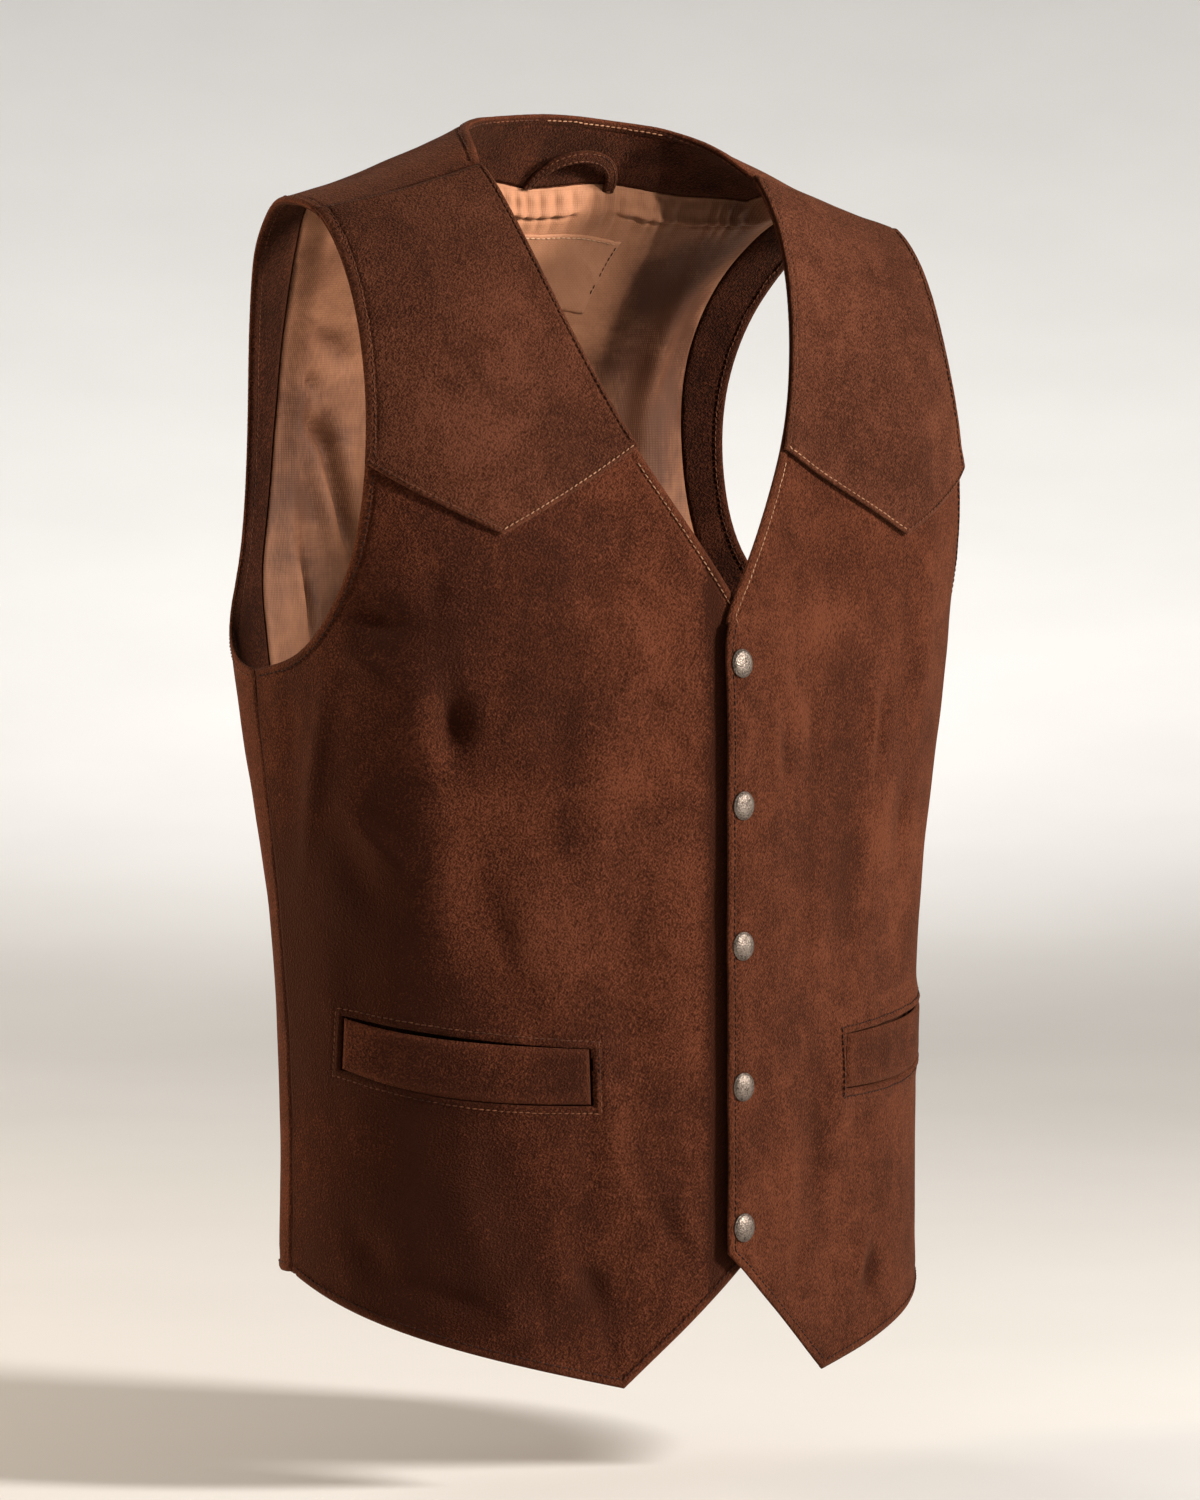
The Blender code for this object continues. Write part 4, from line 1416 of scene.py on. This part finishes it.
def add_lining(back):
    sheet = Sheet("back_lining", inside=True)
    facing = node_rim("back_neck_facing")

    def at_facing(place):
        return distance_to(facing, place) < LINING_TOP_REACH and place.z > LINING_TOP_LOW

    top = tree_of([p for p in rim_points(sheet.bm) if at_facing(p)])
    for reach in LINING_FINE:
        refine(sheet.bm, top, reach)
    sheet.refine_creases(["back_lining"], LEFT)

    def shape(place):
        distance = distance_to(sheet.rim, place)
        loose = LINING_EASE + crease_at("back_lining", LEFT, place)
        loose += LINING_WAVE * unevenness(place, LINING_SEED)
        out = max(ease(0.0, LINING_CALM, distance) * loose, 0.0)
        gathered = gathers(place, distance_to(top, place))
        out += gathered * ease(0.0, GATHER_CALM, max(distance, GATHER_EDGE))
        return out - back_drape(place, distance_to(back, place))

    sheet.brush(LEFT)
    sheet.move(shape)
    surface = sheet.surface()
    sheet.finish(LINING_CLOTH, LINING)
    return surface


def add_patch(lining):
    """A bare patch sewn to the lining, pale thread along the top and dark thread down its sides."""
    sheet = Sheet("label_patch", inside=True, levels=3)
    rests = []
    for vert in list(sheet.bm.verts)[::PATCH_STEP]:
        found = lining.find_nearest(vert.co)
        rests.append((vert.co.copy(), max((found[0] - vert.co).dot(vert.normal), 0.0)))

    def shape(place):
        distance = distance_to(sheet.rim, place)
        rest = max(high - PATCH_SLOPE * (spot - place).length for spot, high in rests)
        roll = PATCH_ROLL * fade(PATCH_ROUND, distance)
        return PATCH_GAP + rest + PATCH_WAVE * noise.noise(place / PATCH_WAVE_WIDE) - roll

    sheet.move(shape)
    surface = sheet.surface()
    head = max(vert.co.z for vert in sheet.bm.verts)
    foot = min(vert.co.z for vert in sheet.bm.verts)

    def on_side(place):
        return foot + PATCH_SIDE_FOOT < place.z < head - PATCH_SIDE_TOP

    top_runs = sheet.run_beside(PATCH_TOP_STITCH, lambda p: p.z > head - PATCH_TOP, surface)
    side_runs = sheet.run_beside(PATCH_SIDE_STITCH, on_side, surface)
    top = sew("label_patch_top_stitches", top_runs, THREAD_PALE)
    sides = sew("label_patch_side_stitches", side_runs, THREAD_BROWN)
    sheet.finish(PATCH_CLOTH, PATCH)


def add_loop():
    """A folded strip, soft and stitched along both edges, arched over the neck facing."""
    sheet = Sheet("hanger_loop", inside=True)
    sheet.refine_edges(STRIP_FINE)

    def shape(place):
        distance = distance_to(sheet.rim, place)
        dent = LOOP_DENT * hump(distance, LOOP_STITCH, LOOP_DENT_WIDE)
        return -LOOP_ROLL * fade(LOOP_ROUND, distance) - dent

    sheet.move(shape)
    runs = sheet.run_beside(LOOP_STITCH, lambda p: True, sheet.surface())
    sew("hanger_loop_stitches", runs, THREAD_BROWN)
    strip = sheet.finish(SUEDE_FACING_SHADED, STRIP)
    strip.name = "hanger_loop_strip"


def spun(profile, sides):
    """A turned shape from a profile of radii and heights."""
    bm = bmesh.new()
    ring = [bm.verts.new((radius, 0.0, height)) for radius, height in profile]
    edges = [bm.edges.new(pair) for pair in zip(ring, ring[1:])]
    bmesh.ops.spin(bm, geom=ring + edges, axis=(0, 0, 1), angle=math.tau, steps=sides, use_merge=True)
    bmesh.ops.remove_doubles(bm, verts=bm.verts[:], dist=MERGE)
    bmesh.ops.recalc_face_normals(bm, faces=bm.faces[:])
    return bm


def snap_places():
    middles = []
    for i in range(1, SNAPS + 1):
        low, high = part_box(f"snap_{i}")
        middles.append((low + high) / 2)
    return middles


def cap_profile():
    """Half of a domed cap with a rolled rim, from its underside up to its top."""
    dome = CAP_RADIUS - CAP_BEAD
    profile = [(0.0, 0.0), (dome, 0.0)]
    half = CAP_STEPS // 2
    for step in range(half + 1):
        turn = math.pi * step / half - math.pi / 2
        profile.append((dome + CAP_BEAD * math.cos(turn), CAP_BEAD * (1 + math.sin(turn))))
    foot = CAP_FOOT * CAP_BEAD
    for step in range(1, CAP_STEPS + 1):
        turn = math.pi / 2 * step / CAP_STEPS
        profile.append((dome * math.cos(turn), foot + (CAP_RISE - foot) * math.sin(turn)))
    return profile


def add_snaps(front):
    """Domed caps, each turned to the cloth's own way out."""
    for i, middle in enumerate(snap_places(), 1):
        place, out, _, _ = front.find_nearest(middle)
        bm = spun(cap_profile(), CAP_SIDES)
        bmesh.ops.rotate(bm, verts=bm.verts[:], matrix=out.to_track_quat("Z", "Y").to_matrix())
        bmesh.ops.translate(bm, verts=bm.verts[:], vec=place + out * CAP_GAP)
        cap = piece_from(bm, f"snap_cap_{i}", SNAP_METAL)
        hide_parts(f"snap_{i}")


# Stage, light and camera


def add_floor(low):
    """A wide pale floor that sweeps up into a pale wall all round."""
    material, tree, shader, place = new_finish("pale floor", roughness=0.85)
    speckle = cloud(tree, place, scale=3, roughness=0.5)
    pale = ramp(tree, speckle, (0.3, (0.74, 0.732, 0.720)), (0.7, (0.77, 0.762, 0.750)))
    cover(tree, shader, base_color=pale)
    profile = [(0.0, low), (FLOOR_REACH, low)]
    for step in range(1, FLOOR_STEPS + 1):
        turn = math.pi / 2 * step / FLOOR_STEPS
        out, up = FLOOR_SWEEP * math.sin(turn), FLOOR_SWEEP * (1 - math.cos(turn))
        profile.append((FLOOR_REACH + out, low + up))
    profile.append((FLOOR_REACH + FLOOR_SWEEP, low + FLOOR_SWEEP + FLOOR_WALL))
    floor = object_from(spun(profile, FLOOR_SIDES), "pale_floor", material)


def way_to(azimuth, elevation):
    a, e = math.radians(azimuth), math.radians(elevation)
    return Vector((math.sin(a) * math.cos(e), -math.cos(a) * math.cos(e), math.sin(e)))


def add_light(name, kind, place, aim, power, colour):
    data = bpy.data.lights.new(name, kind)
    data.energy = power
    data.color = colour
    item = bpy.data.objects.new(name, data)
    item.location = place
    item.rotation_mode = "QUATERNION"
    item.rotation_quaternion = (aim - place).to_track_quat("-Z", "Y")
    bpy.context.scene.collection.objects.link(item)
    return data


def add_soft_box(box):
    """A round soft box aimed at the part's middle."""
    place = VIEW_TARGET + way_to(box.azimuth, box.elevation) * box.distance
    data = add_light(box.name, "AREA", place, VIEW_TARGET, box.power, box.colour)
    data.shape = "DISK"
    data.size = box.size


def add_beam(beam, place, aim):
    """A soft-edged beam."""
    data = add_light(beam.name, "SPOT", place, aim, beam.power, beam.colour)
    data.spot_size = math.radians(beam.cone)
    data.spot_blend = 1.0
    data.shadow_soft_size = beam.size


def add_lights(low):
    for box in SOFT_BOXES:
        add_soft_box(box)
    add_beam(COLLAR_BEAM, COLLAR + way_to(*COLLAR_WAY) * COLLAR_DISTANCE, COLLAR)
    behind = -way_to(VIEW_AZIMUTH, 0)
    start, end = (behind * out + Vector((0.0, 0.0, low + up)) for out, up in (WALL_FROM, WALL_TO))
    add_beam(WALL_BEAM, start, end)
    world = bpy.data.worlds.new("soft sky")
    world.use_nodes = True
    sky = world.node_tree.nodes["Background"]
    sky.inputs["Color"].default_value = SKY
    sky.inputs["Strength"].default_value = SKY_STRENGTH
    scene = bpy.context.scene
    scene.world = world
    scene.view_settings.view_transform = "Standard"


def add_camera():
    data = bpy.data.cameras.new("camera")
    data.lens = VIEW_LENS
    data.sensor_width = VIEW_SENSOR
    item = bpy.data.objects.new("camera", data)
    away = way_to(VIEW_AZIMUTH, VIEW_ELEVATION)
    item.location = VIEW_TARGET + away * VIEW_DISTANCE
    item.rotation_mode = "QUATERNION"
    roll = Matrix.Rotation(math.radians(VIEW_ROLL), 4, "Z")
    turn = (-away).to_track_quat("-Z", "Y").to_matrix().to_4x4() @ roll
    item.rotation_quaternion = turn.to_quaternion()
    bpy.context.scene.collection.objects.link(item)
    bpy.context.scene.camera = item


add_front("right", RIGHT, SUEDE_BODY)
left_front = add_front("left", LEFT, SUEDE_LEFT_SHADED)
add_yoke("right", RIGHT)
add_yoke("left", LEFT)
add_welt("right", RIGHT, SUEDE_BODY)
add_welt("left", LEFT, SUEDE_LEFT_SHADED)
back_edge = add_back()
for facing in ("back_neck_facing", "armhole_facing_right", "armhole_facing_left"):
    add_facing(facing, back_edge)
add_patch(add_lining(back_edge))
add_loop()
add_snaps(left_front)
floor_height = cad_box[0].z - FLOOR_DROP
add_floor(floor_height)
add_lights(floor_height)
add_camera()
